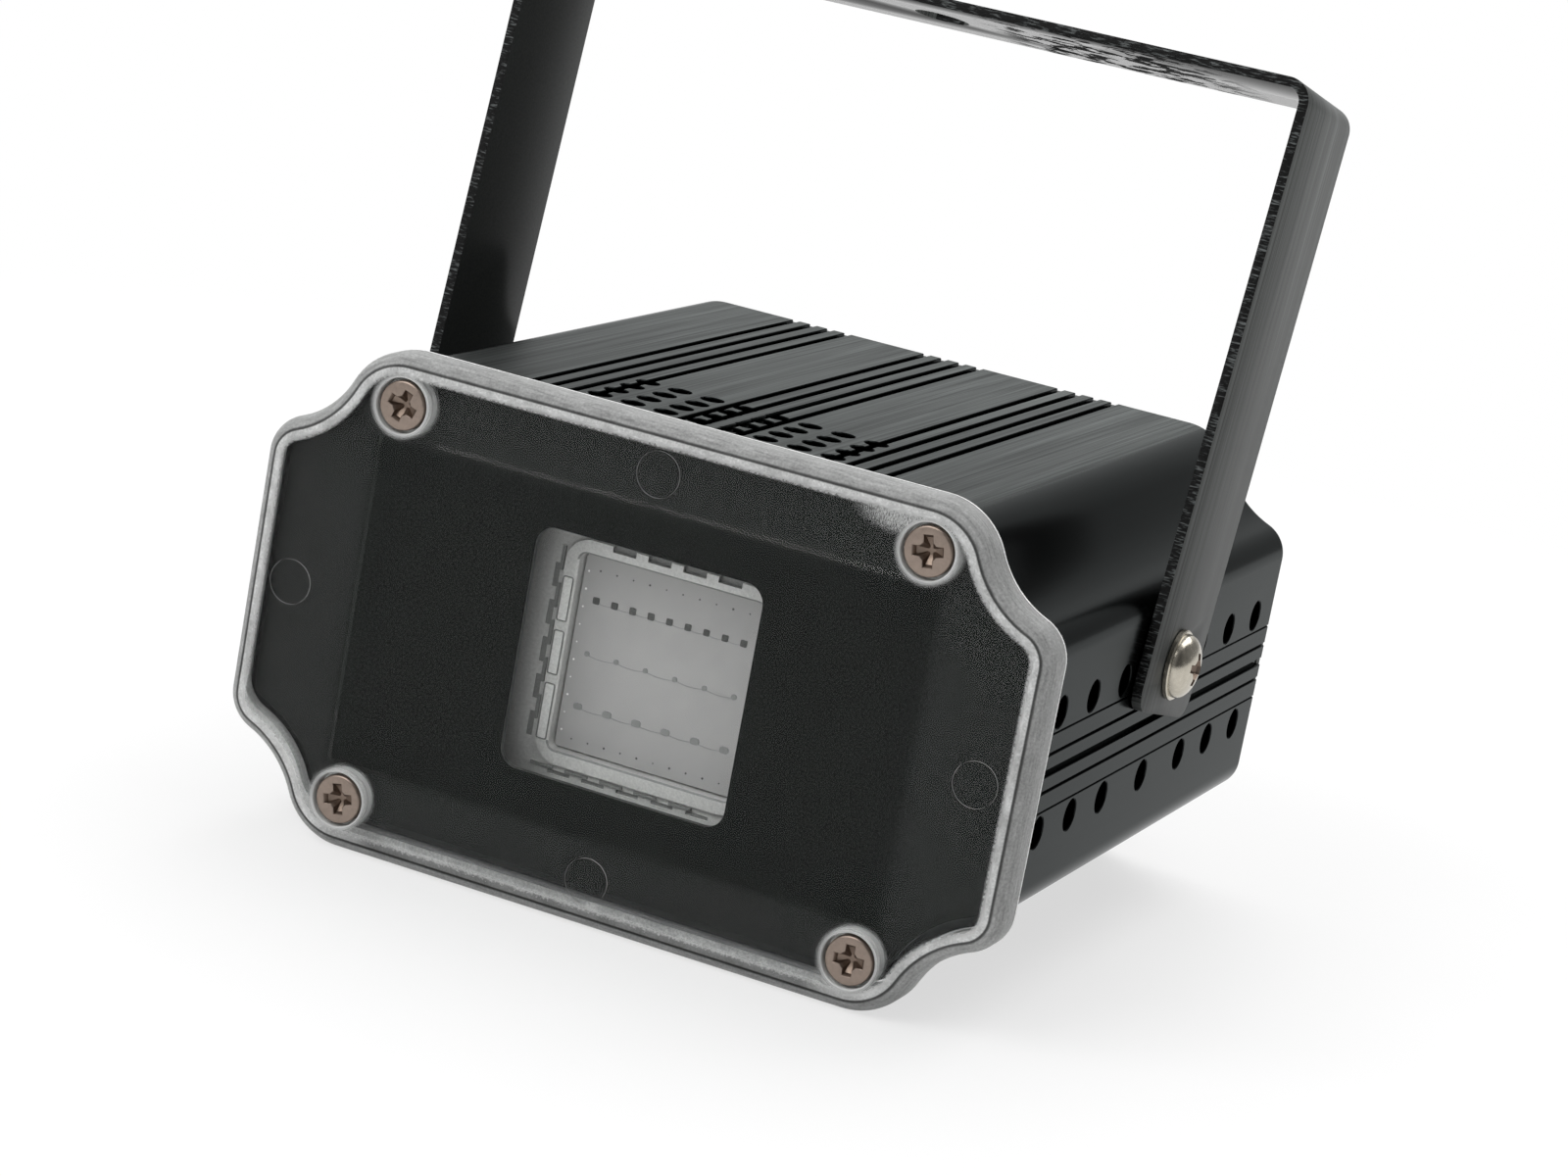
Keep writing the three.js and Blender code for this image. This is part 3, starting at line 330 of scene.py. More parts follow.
def lofted(name, rings, closed=False):
    """A skin that runs from ring to ring of equal length, closed on itself or capped."""
    shape = bmesh.new()
    loops = [[shape.verts.new(point) for point in ring] for ring in rings]
    pairs = list(zip(loops, loops[1:])) + ([(loops[-1], loops[0])] if closed else [])
    for one, two in pairs:
        for i in range(len(one)):
            j = (i + 1) % len(one)
            shape.faces.new((one[i], one[j], two[j], two[i]))
    if not closed:
        shape.faces.new(loops[0])
        shape.faces.new(loops[-1])
    return from_bmesh(name, shape)


def at(y, outline):
    """An outline in X and Z as points at one Y."""
    return [(x, y, z) for x, z in outline]


def prism(name, outline, from_y, to_y):
    """A solid with an outline in X and Z, run along Y."""
    return lofted(name, [at(y, outline) for y in (from_y, to_y)])


def slab(name, low, high):
    """A plain cutting block between two corners."""
    outline = [(low[0], low[2]), (high[0], low[2]), (high[0], high[2]), (low[0], high[2])]
    return prism(name, outline, low[1], high[1])


def turned(name, profile, sides, place=None):
    """A turned solid: (radius, distance) pairs along Y, then moved to its place."""
    shape = bmesh.new()
    loops = []
    for radius, along in profile:
        if radius < MERGE:
            loops.append([shape.verts.new((0, along, 0))])
            continue
        angles = [2 * math.pi * i / sides for i in range(sides)]
        loops.append([shape.verts.new((radius * math.cos(a), along, radius * math.sin(a)))
                      for a in angles])
    for one, two in zip(loops, loops[1:]):
        for i in range(sides):
            j = (i + 1) % sides
            ring = [one[i % len(one)], one[j % len(one)], two[j % len(two)], two[i % len(two)]]
            shape.faces.new(list(dict.fromkeys(ring)))
    if place is not None:
        shape.transform(place)
    return from_bmesh(name, shape)


def rod(name, radius, from_y, to_y, x, z, sides=ROD_SIDES):
    """A plain round cutter along Y."""
    profile = [(0, from_y), (radius, from_y), (radius, to_y), (0, to_y)]
    return turned(name, profile, sides, Matrix.Translation((x, 0, z)))


def joined(name, pieces):
    """Several meshes as one, without a boolean."""
    shape = bmesh.new()
    for piece in pieces:
        shape.from_mesh(piece.data)
        bpy.data.objects.remove(piece)
    mesh = bpy.data.meshes.new(name)
    shape.to_mesh(mesh)
    shape.free()
    return new_object(name, mesh)


def evaluated(piece):
    """The piece's mesh with its modifiers worked in, and the modifiers gone."""
    bpy.context.view_layer.update()
    graph = bpy.context.evaluated_depsgraph_get()
    mesh = bpy.data.meshes.new_from_object(piece.evaluated_get(graph), depsgraph=graph)
    piece.modifiers.clear()
    piece.data = mesh
    return piece


def combine(piece, other, operation="DIFFERENCE"):
    """An exact boolean of two solids, worked in at once."""
    step = piece.modifiers.new("Cut", "BOOLEAN")
    step.object = other
    step.operation = operation
    step.solver = "EXACT"
    evaluated(piece)
    bpy.data.objects.remove(other)
    if not piece.data.polygons:
        raise RuntimeError(f"the cut left nothing of {piece.name}")
    return piece


def smooth(piece, angle=SMOOTH_ANGLE):
    """Smooth shading, broken where faces meet at more than the angle."""
    shape = bmesh.new()
    shape.from_mesh(piece.data)
    bmesh.ops.remove_doubles(shape, verts=shape.verts, dist=MERGE)
    bmesh.ops.dissolve_degenerate(shape, edges=shape.edges, dist=MERGE)
    shape.to_mesh(piece.data)
    shape.free()
    piece.data.shade_smooth()
    piece.data.set_sharp_from_angle(angle=angle)
    return piece


# Outlines in X and Z
def arc(centre, radius, start, end, steps):
    return [(centre[0] + radius * math.cos(start + (end - start) * i / steps),
             centre[1] + radius * math.sin(start + (end - start) * i / steps))
            for i in range(steps + 1)]


def quarter_angles(steps):
    """The angles from nothing to a quarter turn."""
    return [math.pi / 2 * i / steps for i in range(steps + 1)]


def ogee(width, height, sizes, shoulder_x, centre_z, growth=0.0):
    """The housing's outline: cheek lobe, hollow and shoulder lobe in each corner."""
    cheek = Vector((width / 2 - sizes.cheek_radius, height / 2 - sizes.cheek_drop))
    shoulder = Vector((shoulder_x, height / 2 - sizes.shoulder_radius))
    # The hollow's centre is where circles about the two lobes meet
    to_cheek = sizes.cheek_radius + sizes.hollow_radius
    to_shoulder = sizes.shoulder_radius + sizes.hollow_radius
    span = cheek - shoulder
    along = (to_shoulder ** 2 - to_cheek ** 2 + span.length ** 2) / (2 * span.length)
    away = math.sqrt(to_shoulder ** 2 - along ** 2)
    unit = span.normalized()
    hollow = shoulder + unit * along + Vector((-unit.y, unit.x)) * away
    cheek_end = math.atan2(hollow.y - cheek.y, hollow.x - cheek.x)
    shoulder_start = math.atan2(hollow.y - shoulder.y, hollow.x - shoulder.x)
    quarter = arc(cheek, sizes.cheek_radius + growth, 0, cheek_end, CURVE_STEPS)
    quarter += arc(hollow, sizes.hollow_radius - growth, cheek_end + math.pi,
                   shoulder_start + math.pi, CURVE_STEPS)[1:-1]
    quarter += arc(shoulder, sizes.shoulder_radius + growth, shoulder_start, math.pi / 2,
                   CURVE_STEPS)
    upper = quarter + [(-x, z) for x, z in reversed(quarter)]
    return [(x, z + centre_z) for x, z in upper + [(-x, -z) for x, z in upper]]


def shoulder_place(housing):
    return HOUSING_WIDTH / 2 - housing.shoulder_inset


def housing_outline(housing, growth=0.0):
    return ogee(HOUSING_WIDTH, HOUSING_HEIGHT, housing, shoulder_place(housing),
                HOUSING_MIDDLE_Z, growth)


def rounded(width, height, corner, centre_x=0.0, centre_z=0.0, steps=FINE_STEPS):
    """A rectangle with round corners."""
    points = []
    for turn, (sign_x, sign_z) in enumerate(((1, 1), (-1, 1), (-1, -1), (1, -1))):
        centre = (centre_x + sign_x * (width / 2 - corner),
                  centre_z + sign_z * (height / 2 - corner))
        points += arc(centre, corner, turn * math.pi / 2, (turn + 1) * math.pi / 2, steps)
    return points


# Nodes
def link(tree, node, links):
    """Links a node's inputs. A source is a node's first output or a (node, output) pair."""
    for name, source in links.items():
        source, output = source if isinstance(source, tuple) else (source, 0)
        target = node.inputs[name] if isinstance(name, int) else next(
            s for s in node.inputs if name in (s.name, s.identifier))
        tree.links.new(source.outputs[output], target)


def add_node(tree, kind, values=None, links=None, **settings):
    """Adds a node with its settings, its input values and its links.

    The kind is the node's, or a (kind, operation) pair.
    """
    if isinstance(kind, tuple):
        kind, settings["operation"] = kind
    node = tree.nodes.new(kind)
    for name, value in settings.items():
        setattr(node, name, value)
    for name, value in (values or {}).items():
        node.inputs[name].default_value = value
    link(tree, node, links or {})
    return node


# Repeating by Geometry Nodes
def repeat_tree():
    """Puts a piece at every point of a mesh, turned about Y by the point's own turn, with a
    random size."""
    tree = bpy.data.node_groups.new("Repeat at points", "GeometryNodeTree")
    for name, kind in (("Geometry", "NodeSocketGeometry"), ("Piece", "NodeSocketObject"),
                       ("Smallest", "NodeSocketFloat"), ("Seed", "NodeSocketInt"),
                       ("Finish", "NodeSocketMaterial")):
        tree.interface.new_socket(name, in_out="INPUT", socket_type=kind)
    tree.interface.new_socket("Geometry", in_out="OUTPUT", socket_type="NodeSocketGeometry")
    given = add_node(tree, "NodeGroupInput")
    piece = add_node(tree, "GeometryNodeObjectInfo", {}, {"Object": (given, "Piece")})
    turn = add_node(tree, "GeometryNodeInputNamedAttribute", {"Name": "turn"}, data_type="FLOAT")
    angles = add_node(tree, "ShaderNodeCombineXYZ", {}, {"Y": (turn, "Attribute")})
    size = add_node(tree, "FunctionNodeRandomValue", {3: 1.0},
                    {2: (given, "Smallest"), "Seed": (given, "Seed")}, data_type="FLOAT")
    placed = add_node(tree, "GeometryNodeInstanceOnPoints", {},
                      {"Points": (given, "Geometry"), "Instance": (piece, "Geometry"),
                       "Rotation": angles, "Scale": (size, 1)})
    real = add_node(tree, "GeometryNodeRealizeInstances", {}, {"Geometry": placed})
    dressed = add_node(tree, "GeometryNodeSetMaterial", {},
                       {"Geometry": real, "Material": (given, "Finish")})
    add_node(tree, "NodeGroupOutput", {}, {"Geometry": dressed})
    return tree


def repeated(name, piece, places, finish=None, turns=None, smallest=1.0, seed=0):
    """One mesh with a copy of the piece at each place. The piece itself is then removed."""
    tree = bpy.data.node_groups.get("Repeat at points") or repeat_tree()
    points = bpy.data.meshes.new(name)
    points.from_pydata([tuple(place) for place in places], [], [])
    turn = points.attributes.new("turn", "FLOAT", "POINT")
    turn.data.foreach_set("value", turns or [0.0] * len(places))
    made = new_object(name, points)
    step = made.modifiers.new("Repeat", "NODES")
    step.node_group = tree
    values = {"Piece": piece, "Smallest": smallest, "Seed": seed, "Finish": finish}
    for item in tree.interface.items_tree:
        if item.in_out == "INPUT" and item.name in values:
            step[item.identifier] = values[item.name]
    evaluated(made)
    bpy.data.objects.remove(piece)
    return made


# Materials
# Kinds of node that are used often
COORDINATES = "ShaderNodeTexCoord"
MAPPING = "ShaderNodeMapping"
NOISE = "ShaderNodeTexNoise"
AXES = "ShaderNodeSeparateXYZ"
RANGE = "ShaderNodeMapRange"
MIX = "ShaderNodeMix"
# Kinds with what they work out, from one or two numbers and from one or two vectors
TIMES = ("ShaderNodeMath", "MULTIPLY")
PLUS = ("ShaderNodeMath", "ADD")
MINUS = ("ShaderNodeMath", "SUBTRACT")
GREATEST = ("ShaderNodeMath", "MAXIMUM")
MAGNITUDE = ("ShaderNodeMath", "ABSOLUTE")
VECTOR_TIMES = ("ShaderNodeVectorMath", "MULTIPLY")
VECTOR_MAGNITUDE = ("ShaderNodeVectorMath", "ABSOLUTE")
DISTANCE = ("ShaderNodeVectorMath", "DISTANCE")
LENGTH = ("ShaderNodeVectorMath", "LENGTH")
# A mix node's colour comes out of its third output
COLOUR_OUT = 2


def spread(low, high, at_low=NOISE_RUN[0], at_high=NOISE_RUN[1]):
    """Values of a range node: what runs from at_low to at_high comes out as low to high."""
    return {"From Min": at_low, "From Max": at_high, "To Min": low, "To Max": high}


def new_material(name, **shader_values):
    """A material with a Principled shader, whose sockets are named with underscores."""
    material = bpy.data.materials.new(name)
    material.use_nodes = True
    tree = material.node_tree
    tree.nodes.clear()
    shader = add_node(tree, "ShaderNodeBsdfPrincipled",
                      {key.replace("_", " "): value for key, value in shader_values.items()})
    add_node(tree, "ShaderNodeOutputMaterial", {}, {"Surface": (shader, "BSDF")})
    return material, tree, shader


def grain_of(tree, place, size, detail, stretch):
    """Noise whose grain has a real size in metres, drawn out along each axis."""
    scale = add_node(tree, MAPPING, {"Scale": tuple(1 / (size * s) for s in stretch)},
                     {"Vector": place})
    return add_node(tree, NOISE, {"Scale": 1.0, "Detail": detail, "Roughness": 0.6},
                    {"Vector": scale})


def place_noise(tree, size, detail=3.0, stretch=(1, 1, 1)):
    """Grain on object coordinates."""
    place = add_node(tree, COORDINATES)
    return grain_of(tree, (place, "Object"), size, detail, stretch)


def object_axes(tree):
    """Object coordinates as separate distances."""
    place = add_node(tree, COORDINATES)
    return add_node(tree, AXES, {}, {"Vector": (place, "Object")})


def shade(colour_value, factor):
    return tuple(min(1.0, c * factor) for c in colour_value[:3]) + (1.0,)


def wandering(tree, noise, value, darkest, lightest):
    """A colour that wanders with a noise between a darker and a lighter shade of itself."""
    share = add_node(tree, RANGE, spread(0, 1), {"Value": noise})
    return add_node(tree, MIX, {6: shade(value, darkest), 7: shade(value, lightest)},
                    {0: share}, data_type="RGBA")


def facing(tree, axis, at_low, at_high):
    """How far a face looks along an axis, either way, spread between two cosines."""
    place = add_node(tree, COORDINATES)
    axes = add_node(tree, AXES, {}, {"Vector": (place, "Normal")})
    size = add_node(tree, MAGNITUDE, {}, {0: (axes, axis)})
    return add_node(tree, RANGE, spread(0, 1, at_low, at_high), {"Value": size})


def anodised_aluminium(colours):
    # Extruded aluminium dyed black. Its top and bottom are brushed along its length, so fine
    # streaks there catch the light; its sides and curves are left bright and reflect darkly.
    material, tree, shader = new_material("Anodised aluminium", Metallic=1.0, Roughness=0.3,
                                          Specular_Tint=(0.62, 0.63, 0.63, 1))
    # The brush marks are drawn coarser than real ones, so that they show
    streaks = place_noise(tree, 0.17 * MM, 2.0, (1, 260, 1))
    broad = place_noise(tree, 2.2 * MM, 3.0, (1, 40, 1))
    # The brush doesn't reach the bottoms of the grooves
    skin = UPPER_HIGH.z - HOUSING_MIDDLE_Z
    away = add_node(tree, MINUS, {1: HOUSING_MIDDLE_Z}, {0: (object_axes(tree), "Z")})
    away = add_node(tree, MAGNITUDE, {}, {0: away})
    away = add_node(tree, RANGE, spread(0, 1, skin - 0.4 * MM, skin - 0.15 * MM),
                    {"Value": away})
    brushed = add_node(tree, TIMES, {}, {0: facing(tree, "Z", 0.86, 0.99), 1: away})
    tone = add_node(tree, RANGE, spread(0.3, 1.7, 0.32, 0.68), {"Value": streaks})
    cloud = add_node(tree, RANGE, spread(0.82, 1.22), {"Value": broad})
    tone = add_node(tree, TIMES, {}, {0: tone, 1: cloud})
    top = add_node(tree, VECTOR_TIMES, {0: tuple(colours.brushed)[:3]}, {1: tone})
    side = add_node(tree, VECTOR_TIMES, {0: tuple(colours.anodised)[:3]}, {1: cloud})
    mix = add_node(tree, MIX, {}, {0: brushed, 6: side, 7: top}, data_type="RGBA")
    rough = add_node(tree, RANGE, spread(0.2, 0.42, 0, 1), {"Value": brushed})
    strength = add_node(tree, RANGE, spread(0.12, 0.8, 0, 1), {"Value": brushed})
    relief = add_node(tree, "ShaderNodeBump", {"Distance": 0.01 * MM},
                      {"Height": streaks, "Strength": strength})
    link(tree, shader, {"Base Color": (mix, COLOUR_OUT), "Roughness": rough, "Normal": relief})
    return material


def strap_place(tree, tilt):
    """Object coordinates turned upright with the leaning strap."""
    place = add_node(tree, COORDINATES)
    return add_node(tree, MAPPING, {"Rotation": (tilt, 0, 0)}, {"Vector": (place, "Object")})


def painted_steel(colours, tilt):
    # Steel strap, brushed along its length and sprayed thinly in black: the brushing shows
    # through as fine long lines.
    material, tree, shader = new_material("Painted steel", Roughness=0.36, IOR=1.16)
    upright = strap_place(tree, tilt)
    # The marks are drawn coarser than real ones, so that they show
    arm = grain_of(tree, upright, 0.16 * MM, 3.0, (60, 1, 400))
    cross = grain_of(tree, upright, 0.16 * MM, 3.0, (400, 1, 60))
    lines = add_node(tree, MIX, {}, {0: facing(tree, "Z", 0.6, 0.8), 2: arm, 3: cross},
                     data_type="FLOAT")
    broad = grain_of(tree, upright, 2.5 * MM, 2.0, (4, 1, 30))
    tone = add_node(tree, RANGE, spread(0.35, 1.95, 0.34, 0.68), {"Value": lines})
    cloud = add_node(tree, RANGE, spread(0.8, 1.2), {"Value": broad})
    tone = add_node(tree, TIMES, {}, {0: tone, 1: cloud})
    # Painted light: the paint is paler toward the top and darker toward the foot, as light from
    # above falls on it
    heights = add_node(tree, AXES, {}, {"Vector": upright})
    painted_light_from_above = add_node(tree, RANGE, spread(0.75, 1.35, 40 * MM, 100 * MM), {"Value": (heights, "Z")})
    tone = add_node(tree, TIMES, {}, {0: tone, 1: painted_light_from_above})
    coat = add_node(tree, VECTOR_TIMES, {0: tuple(colours.paint)[:3]}, {1: tone})
    rough = add_node(tree, RANGE, spread(0.3, 0.46), {"Value": lines})
    relief = add_node(tree, "ShaderNodeBump", {"Strength": 0.3, "Distance": 0.02 * MM},
                      {"Height": lines})
    link(tree, shader, {"Base Color": coat, "Roughness": rough, "Normal": relief})
    return material


def arm_paint(colours, tilt):
    # The arms' inner faces: smooth satin black, without the brushing.
    material, tree, shader = new_material("Satin paint", Roughness=0.16, IOR=1.07)
    fine = grain_of(tree, strap_place(tree, tilt), 0.3 * MM, 3.0, (1, 1, 1))
    tone = add_node(tree, RANGE, spread(0.85, 1.15), {"Value": fine})
    coat = add_node(tree, VECTOR_TIMES, {0: tuple(colours.paint_arm)[:3]}, {1: tone})
    link(tree, shader, {"Base Color": coat})
    return material


def inside_paint(colours, tilt):
    # The top's underside: smooth gloss black, blotched where it was rubbed.
    material, tree, shader = new_material("Gloss paint", Roughness=0.08, IOR=1.15)
    upright = strap_place(tree, tilt)
    blotch = grain_of(tree, upright, 2.2 * MM, 6.0, (1.8, 1, 1))
    patches = add_node(tree, RANGE, spread(0, 1, 0.5, 0.53), {"Value": blotch})
    # The blotches lie to the right of the bolt hole and fade towards the bend
    sides = add_node(tree, AXES, {}, {"Vector": upright})
    start = add_node(tree, RANGE, spread(0, 1, 6 * MM, 14 * MM), {"Value": (sides, "X")})
    end = add_node(tree, RANGE, spread(1, 0, 30 * MM, 42 * MM), {"Value": (sides, "X")})
    rubbed = add_node(tree, TIMES, {}, {0: start, 1: end})
    patches = add_node(tree, TIMES, {}, {0: patches, 1: rubbed})
    fine = grain_of(tree, upright, 0.3 * MM, 3.0, (1, 1, 1))
    tone = add_node(tree, RANGE, spread(0.7, 1.3), {"Value": fine})
    coat = add_node(tree, VECTOR_TIMES, {0: tuple(colours.paint_inside)[:3]}, {1: tone})
    rough = add_node(tree, RANGE, spread(0.1, 0.9, 0, 1), {"Value": patches})
    link(tree, shader, {"Base Color": coat, "Roughness": rough})
    return material


def sheared_edge(colours, tilt):
    # The strap's edges as the shear left them: rough, with short ticks across them. The ticks'
    # brightness is painted glints.
    material, tree, shader = new_material("Sheared edge", Roughness=0.55, IOR=1.25)
    upright = strap_place(tree, tilt)
    tick = grain_of(tree, upright, 0.24 * MM, 3.0, (7, 8, 1))
    along = grain_of(tree, upright, 0.24 * MM, 3.0, (1, 8, 7))
    # The ticks turn where the arms pass into the strap's level top
    heights = add_node(tree, AXES, {}, {"Vector": upright})
    level = add_node(tree, RANGE, spread(0, 1, 107.5 * MM, 108 * MM), {"Value": (heights, "Z")})
    ticks = add_node(tree, MIX, {}, {0: level, 2: tick, 3: along}, data_type="FLOAT")
    # Painted glints: the ticks light the edge's dark colour up to many times its own
    tone = add_node(tree, RANGE, spread(0.4, 26.0, 0.53, 0.68), {"Value": ticks})
    coat = add_node(tree, VECTOR_TIMES, {0: tuple(colours.paint_edge)[:3]}, {1: tone})
    relief = add_node(tree, "ShaderNodeBump", {"Distance": 0.12 * MM}, {"Height": ticks})
    link(tree, shader, {"Base Color": coat, "Normal": relief})
    return material


def cover_quarter(tree):
    """Object coordinates folded about the cover's middle onto its upper right quarter."""
    place = add_node(tree, COORDINATES)
    moved = add_node(tree, MAPPING, {"Location": (0, 0, -COVER_MIDDLE_Z)},
                     {"Vector": (place, "Object")})
    return add_node(tree, VECTOR_MAGNITUDE, {}, {0: moved})


def near_screws(tree, quarter, inner, outer):
    """One at the four cover screws and nothing past the outer distance."""
    screw = middle(COVER_SCREWS[1])
    level = add_node(tree, VECTOR_TIMES, {1: (1, 0, 1)}, {0: quarter})
    away = add_node(tree, DISTANCE, {1: (screw.x, 0, screw.z - COVER_MIDDLE_Z)}, {0: level})
    return add_node(tree, RANGE, spread(1, 0, inner, outer), {"Value": (away, "Value")})


def outside_pocket(tree, quarter, half_x, half_z, soft):
    """Nothing over the polished pocket and one outside it."""
    axes = add_node(tree, AXES, {}, {"Vector": quarter})
    across = add_node(tree, RANGE, spread(0, 1, half_x - soft, half_x + soft),
                      {"Value": (axes, "X")})
    up = add_node(tree, RANGE, spread(0, 1, half_z - soft, half_z + soft),
                  {"Value": (axes, "Z")})
    return add_node(tree, GREATEST, {}, {0: across, 1: up})


def rubbed_patch(tree):
    """The rubbed patch beside the upper right screw, where the gate was trimmed."""
    place = add_node(tree, COORDINATES)
    patch = add_node(tree, MAPPING, {"Location": (-30.5 * MM, 0, -58.5 * MM)},
                     {"Vector": (place, "Object")})
    patch = add_node(tree, VECTOR_TIMES, {1: (0.4, 0, 1)}, {0: patch})
    patch = add_node(tree, LENGTH, {}, {0: patch})
    patch = add_node(tree, RANGE, spread(1, 0, 0.8 * MM, 2.6 * MM), {"Value": (patch, "Value")})
    scratch = place_noise(tree, 0.2 * MM, 4.0, (0.5, 1, 2.5))
    scratch = add_node(tree, RANGE, spread(0, 1, 0.42, 0.62), {"Value": scratch})
    return add_node(tree, TIMES, {}, {0: patch, 1: scratch})


# The rim's grey levels, each at its share of the way from the flat front to the rear edge. They
# are painted reflection: the pale and grey bands, the thin dark lines and the bright line near the
# rear edge
RIM_BANDS = ((0.0, 0.6), (0.18, 0.66), (0.2, 0.08), (0.228, 0.08), (0.26, 0.38), (0.9, 0.44),
             (0.915, 0.12), (0.935, 1.0))


def rim_tone(tree, along, axes, grain):
    """The frosting's greys, painted as reflection: bands along the rim's profile, dimmer at its
    lower edge.
    """
    bands = add_node(tree, "ShaderNodeValToRGB", {}, {"Fac": (along, "X")})
    elements = bands.color_ramp.elements
    while len(elements) < len(RIM_BANDS):
        elements.new(0.5)
    for element, (place, level) in zip(elements, RIM_BANDS):
        element.position = place
        element.color = (level, level, level, 1)
    # Along the lower edge between the screws the bands are dimmer, the painted light band most,
    # while the grey beyond it stays grey
    low = add_node(tree, RANGE, spread(0.3, 1, 2.5 * MM, 6.5 * MM), {"Value": (axes, "Z")})
    beside = add_node(tree, MAGNITUDE, {}, {0: (axes, "X")})
    beside = add_node(tree, RANGE, spread(0.34, 1, 28 * MM, 37 * MM), {"Value": beside})
    behind = add_node(tree, RANGE, spread(0, 0.85, 0.19, 0.27), {"Value": (along, "X")})
    low = add_node(tree, GREATEST, {}, {0: low, 1: beside})
    low = add_node(tree, GREATEST, {}, {0: low, 1: behind})
    tone = add_node(tree, TIMES, {}, {0: bands, 1: low})
    speck = add_node(tree, RANGE, spread(0.78, 1.22), {"Value": grain})
    broad = place_noise(tree, 3 * MM, 3.0, (1, 0.1, 1))
    cloud = add_node(tree, RANGE, spread(0.75, 1.2), {"Value": broad})
    tone = add_node(tree, TIMES, {}, {0: tone, 1: speck})
    return add_node(tree, TIMES, {}, {0: tone, 1: cloud})


def polycarbonate(colours, sizes):
    # Clear moulded polycarbonate. Only the pocket over the window is polished. The border round
    # it is finely sparked, which lays a faint haze over the black behind it, and the rounded edge,
    # the rim and the screw seats are frosted. The rim's bands and thin lines are painted
    # reflection.
    material, tree, shader = new_material("Polycarbonate", IOR=1.15)
    quarter = cover_quarter(tree)
    axes = object_axes(tree)
    rim_place = add_node(tree, "ShaderNodeUVMap", uv_map="rim")
    along = add_node(tree, AXES, {}, {"Vector": rim_place})
    grain = place_noise(tree, 0.3 * MM)
    # The haze of the border, which grows toward the cover's lower edge
    border = outside_pocket(tree, quarter, COVER_WIDTH / 2 - sizes.pocket_side,
                            COVER_HEIGHT / 2 - sizes.pocket_top, 0.15 * MM)
    haze = add_node(tree, RANGE, spread(0, 0.015, 0.32, 0.68), {"Value": grain})
    haze = add_node(tree, TIMES, {}, {0: haze, 1: border})
    fade = add_node(tree, RANGE, spread(0.05, 0, 1.5 * MM, 4.6 * MM), {"Value": (axes, "Z")})
    haze = add_node(tree, PLUS, {}, {0: haze, 1: fade})
    # The frosting starts raggedly where the front turns into the rounded edge
    turned_away = add_node(tree, RANGE, spread(1, 0, 0, 1), {"Value": facing(tree, "Y", 0.5, 0.8)})
    ragged = add_node(tree, RANGE, spread(0.55, 1.45), {"Value": grain})
    rim = add_node(tree, TIMES, {}, {0: (along, "X"), 1: ragged})
    rim = add_node(tree, RANGE, spread(0, 1, 0, 0.1), {"Value": rim})
    seats = near_screws(tree, quarter, 3.45 * MM, 4.3 * MM)
    seats = add_node(tree, TIMES, {}, {0: seats, 1: seats})
    seats = add_node(tree, RANGE, spread(0, 0.8, 0, 1), {"Value": seats})
    frost = add_node(tree, GREATEST, {}, {0: turned_away, 1: rim})
    for share in (seats, rubbed_patch(tree)):
        frost = add_node(tree, GREATEST, {}, {0: frost, 1: share})
    whole = add_node(tree, RANGE, spread(0, 0.82, 0, 1), {"Value": frost})
    whole = add_node(tree, PLUS, {}, {0: whole, 1: haze})
    tone = rim_tone(tree, along, axes, grain)
    tone = add_node(tree, GREATEST, {}, {0: tone, 1: seats})
    level = add_node(tree, VECTOR_TIMES, {0: tuple(colours.polycarbonate)[:3]}, {1: tone})
    mix = add_node(tree, MIX, {6: tuple(colours.polycarbonate)}, {0: frost, 7: level},
                   data_type="RGBA")
    clear = add_node(tree, RANGE, spread(1, 0, 0, 1), {"Value": whole})
    rough = add_node(tree, RANGE, spread(0.03, 0.45, 0.02, 0.5), {"Value": whole})
    link(tree, shader, {"Base Color": (mix, COLOUR_OUT), "Transmission Weight": clear,
                        "Roughness": rough})
    return material


def vinyl_sheet(colours):
    # Black vinyl sheet: flat and dull. Its cut edge is a little paler than its skin.
    material, tree, shader = new_material("Vinyl sheet", Roughness=0.6, Specular_IOR_Level=0.12)
    grain = place_noise(tree, 0.35 * MM)
    tone = add_node(tree, RANGE, spread(0.85, 1.15), {"Value": grain})
    skin = add_node(tree, VECTOR_TIMES, {0: tuple(colours.mask)[:3]}, {1: tone})
    mix = add_node(tree, MIX, {6: tuple(colours.mask_edge)},
                   {0: facing(tree, "Y", 0.3, 0.7), 7: skin}, data_type="RGBA")
    link(tree, shader, {"Base Color": (mix, COLOUR_OUT)})
    return material


def module_base(colours, sizes):
    # The module's lower faces: satin moulding, with painted shade that greys it toward its outer
    # edge under the mask.
    material, tree, shader = new_material("Module base", Roughness=0.5)
    away = add_node(tree, MAGNITUDE, {}, {0: (object_axes(tree), "X")})
    # Painted shade: darker toward the outer edge, where the mask shades the moulding
    tone = add_node(tree, RANGE, spread(1, 0.4, sizes.lip / 2 + 1 * MM, sizes.lip / 2 + 4.5 * MM),
                    {"Value": away})
    grain = place_noise(tree, 0.4 * MM)
    speck = add_node(tree, RANGE, spread(0.88, 1.12), {"Value": grain})
    tone = add_node(tree, TIMES, {}, {0: tone, 1: speck})
    skin = add_node(tree, VECTOR_TIMES, {0: tuple(colours.frame_base)[:3]}, {1: tone})
    link(tree, shader, {"Base Color": skin})
    return material


